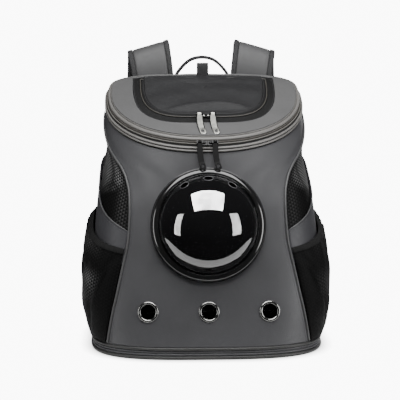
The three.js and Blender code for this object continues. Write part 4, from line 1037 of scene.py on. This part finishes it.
# Flat pull: rounded at both ends, bending to one side as it goes down, with an oval hole near its foot
def makePull(part, name, side, material, slot):
    plan = pull[part]
    origin, right, up, out = sliderPlace(part, side * plan["pitch"] / 2)
    hinge = origin + out * (pull["thick"] + pull["bridge"])
    lean = math.radians(plan["tilt"])
    down = -up * math.cos(lean) + out * math.sin(lean)
    face = np.cross(right, -down)
    t = np.linspace(0, 1, 49)
    reach = plan["length"] - pull["knuckle"]
    half = mix(pull["neck"], pull["half"], np.clip(t / 0.16, 0, 1) ** 0.8)
    half = half * np.sqrt(np.clip(1 - np.clip((t - 0.93) / 0.07, 0, 1) ** 3, 0.05, 1))
    middle = np.column_stack([pull["bend"] * t**3, -pull["knuckle"] * 0.6 - reach * t])
    along = unit(np.gradient(middle, axis=0))
    square = np.column_stack([-along[:, 1], along[:, 0]])
    s = np.linspace(-1, 1, 17)[None, :, None]
    flat = middle[:, None] + square[:, None] * half[:, None, None] * s
    swell = 0.35 * np.clip((t - 0.72) * 12, 0, 1)[:, None, None]
    points = hinge + flat[..., :1] * right + flat[..., 1:] * -down + face * (pull["plate"] / 2 + swell)
    pullBody = "%s_pull_%s" % (part, name)
    plate = surface(pullBody + "_plate", points, material, rides=pullBody, slot=slot, nodes=[pullBody], flip=True)
    thicken(plate, pull["plate"])
    centre = np.array([pull["bend"] * 0.86**3, -pull["knuckle"] * 0.6 - reach * 0.86])
    cutAway(plate, [prism(circle(24) * pull["hole"] + centre, -3, 3, [hinge, right, -down, face])])
    soften(plate, 0.3)
    settle(plate)
    # The hole's walls are lined with a tube: on the window pulls it is dark silver and paints the shadow seen
    # through the hole, on the lid pulls it is the pull's own black
    eye = circle(24) * (np.array(pull["hole"]) - 0.02)
    low, high = -pull["plate"] / 2 - 0.05, pull["plate"] / 2 + 0.4
    liner = np.stack([np.column_stack([eye * scale + centre, np.full(24, deep)])
                      for scale, deep in ((1, low), (1, high), (0.86, high), (0.86, low))])
    ringTube(pullBody + "_eye", hinge + liner @ np.array([right, -down, face]),
             paintedShadeSilver if part == "window" else satin, rides=pullBody, slot=slot)
    # On the window pulls a dark silver cord round the plate's edge paints a dark edge shade on the silver
    if part == "window":
        left, far = flat[:, 0], flat[::-1, -1]
        outline = np.vstack([left, far])
        outline = np.column_stack([outline, np.zeros(len(outline))])
        keep = np.r_[True, np.linalg.norm(np.diff(outline, axis=0), axis=1) > 0.05]
        outline = outline[keep]
        ahead = unit(np.roll(outline, -1, 0) - np.roll(outline, 1, 0))
        beside = np.cross(ahead, [0, 0, 1.0])
        ring = circle(8, pull["plate"] / 2 + 0.15)
        rim = outline[:, None] + beside[:, None] * ring[None, :, :1] + np.array([0, 0, 1.0]) * ring[None, :, 1:]
        ringTube(pullBody + "_rim", hinge + rim @ np.array([right, -down, face]), paintedShadeSilver, rides=pullBody,
                 slot=slot)
    width = pull["slider"] - 2 * pull["post"] - 0.6
    tube = [(1.15, -width / 2), (pull["knuckle"], -width / 2), (pull["knuckle"], width / 2), (1.15, width / 2)]
    knuckle = ringTube(pullBody + "_knuckle", turned(tube, [hinge, up, out, right], 32), material,
                       rides=pullBody, slot=slot)
    knuckle.data.set_sharp_from_angle(angle=0.7)
    soften(knuckle, 0.25)


# Domed cap of a slider, on the tail of its plate
def makeSliderCap(part, name, side, material):
    origin, right, up, out = sliderPlace(part, side * (pull[part]["pitch"] - pull["slider"] - 3.6) / 2)
    turn, rise = np.linspace(0, 2 * np.pi, 24, endpoint=False)[None, :], np.linspace(0.02, np.pi / 2, 9)[:, None]
    ball = np.stack([3.1 * np.sin(rise) * np.cos(turn), 2.4 * np.sin(rise) * np.sin(turn),
                     np.broadcast_to(pull["thick"] - 0.1 + 1.9 * np.cos(rise), (9, 24))], -1)
    cap = openTube("%s_slider_cap_%s" % (part, name), origin + ball @ np.array([right, up, out]), material,
                   slot="black_plastic" if part == "lid" else "silver_metal", flip=True)
    thicken(cap, 0.4)


def makeZips():
    for name, side in (("left", -1), ("right", 1)):
        makePull("window", name, side, silver, "silver_metal")
        makePull("lid", name, side, satin, "black_metal")
        makeSliderCap("window", name, side, nickel)
        makeSliderCap("lid", name, side, enamel)
        for part in ("window", "lid"):
            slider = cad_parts["%s_slider_%s" % (part, name)]
            slider.data.materials.clear()
            slider.data.materials.append(enamel)


makeZips()
print("zips made")

# Shoulder straps, handle and tab

strap = {
    "half": 32, "thick": 9, "edge": 8.5, "edgeThick": 10.5, "span": 81.94, "crest": 429, "hang": 46, "tail": 1.6,
    "across": [0.9, 0.915, 0.927, 0.957, 0.988, 1, 1.01, 1.025, 1.05, 1.085, 1.134, 1.18, 1.22],
    "behind": [0, 0, 0.02, 0.1, 0.29, 0.56, 0.84, 1, 1.06, 1.05, 1, 0.94, 0.9],
    "up": [0.75, 0.816, 0.881, 0.942, 0.986, 1, 0.985, 0.937, 0.862, 0.746, 0.606, 0.478, 0.385],
    "twist": [0, 2, 6, 11, 15, 16, 14, 10, 6, 3, 0, 0, 0],
}


def strapLine(side, count=150):
    t = np.linspace(0, 1, count)
    rows = np.linspace(0, 1, len(strap["across"]))
    line = np.column_stack([
        side * strap["span"] * smoothRead(rows, strap["across"], t),
        bag["top"]["rear"] + strap["thick"] / 2 + 0.9 + strap["hang"] * smoothRead(rows, strap["behind"], t),
        strap["crest"] * smoothRead(rows, strap["up"], t),
    ])
    twist = np.radians(smoothRead(rows, strap["twist"], t))
    return line, np.column_stack([side * np.cos(twist), np.zeros(count), -np.sin(twist)])


def makeStrap(name, side):
    line, across = strapLine(side)
    crest = np.exp(-((np.linspace(0, 1, len(line)) - 0.40) / 0.16) ** 2)[:, None]
    line = line + crest * [side * 1.4, 0, 0]
    pad = strap["half"] - strap["edge"] + 1.2
    section = softBar(pad, strap["thick"] / 2, 44, 5.5) * (1 + 0.05 * crest[:, :, None] * [1, 0])
    pads = openTube("strap_pad_" + name, alongLine(line, across, section), strapLeather, capped=True,
                    flip=side > 0, slot="lid_leatherette", nodes=["strap_" + name])
    seam = strap["half"] - strap["edge"] + 0.45
    centre, half = (seam + strap["half"]) / 2, (strap["half"] - seam) / 2
    for edge, s in (("inner", -1), ("outer", 1)):
        section = softBar(half, strap["edgeThick"] / 2, 28, 4.5) + [s * centre, 0]
        section = section + crest[:, :, None] * [s * 1.4, 0]
        openTube("strap_binding_%s_%s" % (name, edge), alongLine(line, across, section), strapBinding,
                 capped=True, flip=side > 0, slot="binding", nodes=["strap_edge_%s_%s" % (name, edge)])
        for face, up in (("front", -1), ("rear", 1)):
            place = s * (seam + 1.6)
            row = alongLine(line, across,
                            [(place, up * (strap["edgeThick"] / 2 - 0.1)), (place, up * strap["edgeThick"])])
            stitches("strap_stitching_%s_%s_%s" % (name, edge, face), row[:, 0], row[:, 1] - row[:, 0], darkThread)
    end = line[-1] + [0, 0, -11 - 0.3 - strap["tail"]]
    makeWebbing(name, side, end)


def makeWebbing(name, side, buckleFoot):
    inSlot = buckleFoot + [0, 0, -11 * 0.45 - 1.4]
    share = side * 0.415
    rise = 30 / 271
    foot = onBody(rise * 0.6, share, 0.6 + 3 + 0.6 + 0.9)
    route = [inSlot + [0, -2.5, 0], inSlot + [0, 4.3, 0], inSlot + [0, 6.1, -4.5],
             mix(inSlot, foot, 0.35) + [0, 3.6, 0], mix(inSlot, foot, 0.75) + [0, 2.7, 0], foot]
    line = smoothLine(route, 90)
    openTube("strap_webbing_" + name, alongLine(line, [1.0, 0, 0], softBar(12.5, 0.9, 20, 6)), webbing,
             capped=True, flip=True, slot="binding", nodes=["webbing_" + name])
    v = np.linspace(0, 1, 24)[:, None]
    u = np.linspace(-1, 1, 30)[None, :]
    half = mix(22, 13.5, v) / bag["around"]
    bulge = 0.6 + 3 - 0.5 * (np.abs(u) > 0.9)
    patch = surface("strap_patch_" + name, onBody(rise * v + 0.002, share + side * half * u, bulge), webbing,
                    flip=side < 0, slot="binding", nodes=["strap_anchor_" + name])
    thicken(patch, 3)
    soften(patch, 0.8)
    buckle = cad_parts["buckle_" + name]
    buckle.data.materials.clear()
    buckle.data.materials.append(gloss)
    soften(buckle, 0.8)


handle = {"half": 10, "thick": 4.8,
          "route": [(38.6, 352), (40.4, 374), (40.6, 387), (31, 401), (18.5, 411.5), (6, 415.4)]}


def makeHandle():
    y = bag["top"]["rear"] + handle["half"] + 0.45
    route = [(-x, y, z) for x, z in handle["route"]] + [(x, y, z) for x, z in handle["route"][::-1]]
    line = smoothLine(route, 160)
    openTube("grab_handle", alongLine(line, [0, 1.0, 0], softBar(handle["half"], handle["thick"] / 2, 28, 5)),
             webbing, capped=True, flip=True, slot="nylon", nodes=["carry_handle"])
    tabY = bag["top"]["rear"] - lid["inset"] - 3
    reach = 2.5
    foot = float(lidHeight(np.array([0.0]), np.array([tabY + reach + 1]))[0]) + 0.45
    route = [(0, tabY - reach, foot), (0, tabY - reach, foot + 15), (0, tabY, foot + 19),
             (0, tabY + reach, foot + 15), (0, tabY + reach, foot)]
    openTube("top_loop", alongLine(smoothLine(route, 60), [1.0, 0, 0], softBar(9, 1, 24, 6)), webbing,
             capped=True, slot="nylon", nodes=["top_tab"])


makeStrap("left", -1)
makeStrap("right", 1)
makeHandle()
print("straps and handle made")

# Floor and light

studio = {
    "sky": (0.045, 0.045, 0.047), "backdrop": 10.0,
    "floor": {"centre": (0, 107), "radii": (620, 310), "glow": 10.0, "gleam": 4.5, "shade": 0.022},
    "top": {"centre": (0, -0.52, 1.278), "facing": (0, 0.419, -0.908),
            "up": (0, 0.908, 0.419), "size": (1.29, 0.99), "power": 30, "gleam": 90.0},
    "left": {"centre": (-1.273, -0.578, 0.4), "facing": (0.442, 0.897, 0),
             "up": (0, 0, 1), "size": (0.47, 0.93), "power": 7, "gleam": 28.0},
    "right": {"centre": (1.191, -0.712, 0.43), "facing": (-0.55, 0.83, 0),
              "up": (0, 0, 1), "size": (0.56, 0.96), "power": 12, "gleam": 24.0},
    "rear": {"centre": (0.4, 1.7, 0.5), "facing": (-0.23, -0.96, -0.15),
             "up": (0, 0, 1), "size": (1.6, 0.8), "power": 8, "gleam": 4.0},
}


# A softbox: the lamp lights the bag, and a panel in the same place is seen only in perfectly sharp mirrors
def makeLight(name):
    plan = studio[name]
    lamp = bpy.data.lights.new(name + " softbox", "AREA")
    lamp.shape, lamp.size, lamp.size_y, lamp.energy = "RECTANGLE", *plan["size"], plan["power"]
    holder = bpy.data.objects.new(name + " softbox", lamp)
    back = -Vector(plan["facing"]).normalized()
    side = Vector(plan["up"]).cross(back).normalized()
    up = back.cross(side)
    holder.matrix_world = axesMatrix(plan["centre"], side, up, back)
    bpy.context.scene.collection.objects.link(holder)
    centre = Vector(plan["centre"]) - back * 0.01
    half = side * plan["size"][0] / 2, up * plan["size"][1] / 2
    panel = bpy.data.objects.new(name + " gleam", bpy.data.meshes.new(name + " gleam"))
    panel.data.from_pydata([centre + a * half[0] + b * half[1] for a, b in ((-1, -1), (1, -1), (1, 1), (-1, 1))],
                           [], [(0, 1, 2, 3)])
    bpy.context.scene.collection.objects.link(panel)
    cloth = newMaterial(name + " softbox cloth", (0.8, 0.8, 0.8), 0.8)
    cloth.cycles.emission_sampling = "NONE"
    panel.data.materials.append(cloth)
    folds = node(cloth, "TexNoise", Vector=node(cloth, "TexCoord").outputs["Object"], Scale=2.2, Detail=1.0)
    strength = node(cloth, "MapRange", Value=folds.outputs["Fac"], _1=0.3, _2=0.7, _3=0.6 * plan["gleam"],
                    _4=1.3 * plan["gleam"])
    glow = node(cloth, "Emission", Color=(1, 1, 1, 1), Strength=strength.outputs[0])
    seen = node(cloth, "MixShader", _0=node(cloth, "LightPath").outputs["Is Singular Ray"],
                _1=node(cloth, "BsdfTransparent").outputs[0], _2=glow.outputs[0])
    cloth.node_tree.links.new(seen.outputs[0], cloth.node_tree.nodes["Material Output"].inputs["Surface"])


# The backdrop and the floor look white to the eye and stay dim for everything that mirrors them
def brightToEye(tree, dim, target, white):
    ray = tree.nodes.new("ShaderNodeLightPath")
    blend = tree.nodes.new("ShaderNodeMixShader")
    tree.links.new(ray.outputs["Is Camera Ray"], blend.inputs[0])
    tree.links.new(dim, blend.inputs[1])
    tree.links.new(white, blend.inputs[2])
    tree.links.new(blend.outputs[0], target.inputs["Surface"])


def makeFloor():
    plan = studio["floor"]
    ground = circle(128) * plan["radii"] + plan["centre"]
    plane = bpy.data.objects.new("floor", bpy.data.meshes.new("floor"))
    plane.data.from_pydata([(x * 0.001, y * 0.001, -0.0006) for x, y in ground], [], [list(range(128))])
    bpy.context.scene.collection.objects.link(plane)
    pale = newMaterial("pale floor", (0.85, 0.85, 0.85), 0.6)
    plane.data.materials.append(pale)
    # For camera rays the floor's glow is darkened by ambient occlusion near the bag: a painted contact shadow
    near = node(pale, "AmbientOcclusion", {"samples": 16}, Distance=plan["shade"]).outputs["AO"]
    deep = maths(pale, "POWER", near, 2.0)
    glow = node(pale, "Emission", Color=(1, 1, 1, 1), Strength=maths(pale, "MULTIPLY", deep, plan["glow"]))
    mirrored = node(pale, "Emission", Color=(1, 1, 1, 1), Strength=plan["gleam"])
    sharp = node(pale, "MixShader", _0=node(pale, "LightPath").outputs["Is Singular Ray"],
                 _1=pale.node_tree.nodes["Principled BSDF"].outputs[0], _2=mirrored.outputs[0])
    brightToEye(pale.node_tree, sharp.outputs[0], pale.node_tree.nodes["Material Output"], glow.outputs[0])


def makeStudio():
    for name in ("top", "left", "right", "rear"):
        makeLight(name)
    world = bpy.data.worlds.new("studio")
    bpy.context.scene.world = world
    world.use_nodes = True
    sky = world.node_tree.nodes["Background"]
    sky.inputs["Color"].default_value = (*studio["sky"], 1)
    white = world.node_tree.nodes.new("ShaderNodeBackground")
    white.inputs["Color"].default_value = (1, 1, 1, 1)
    white.inputs["Strength"].default_value = studio["backdrop"]
    brightToEye(world.node_tree, sky.outputs[0], world.node_tree.nodes["World Output"], white.outputs[0])
    makeFloor()


makeStudio()
print("studio made")
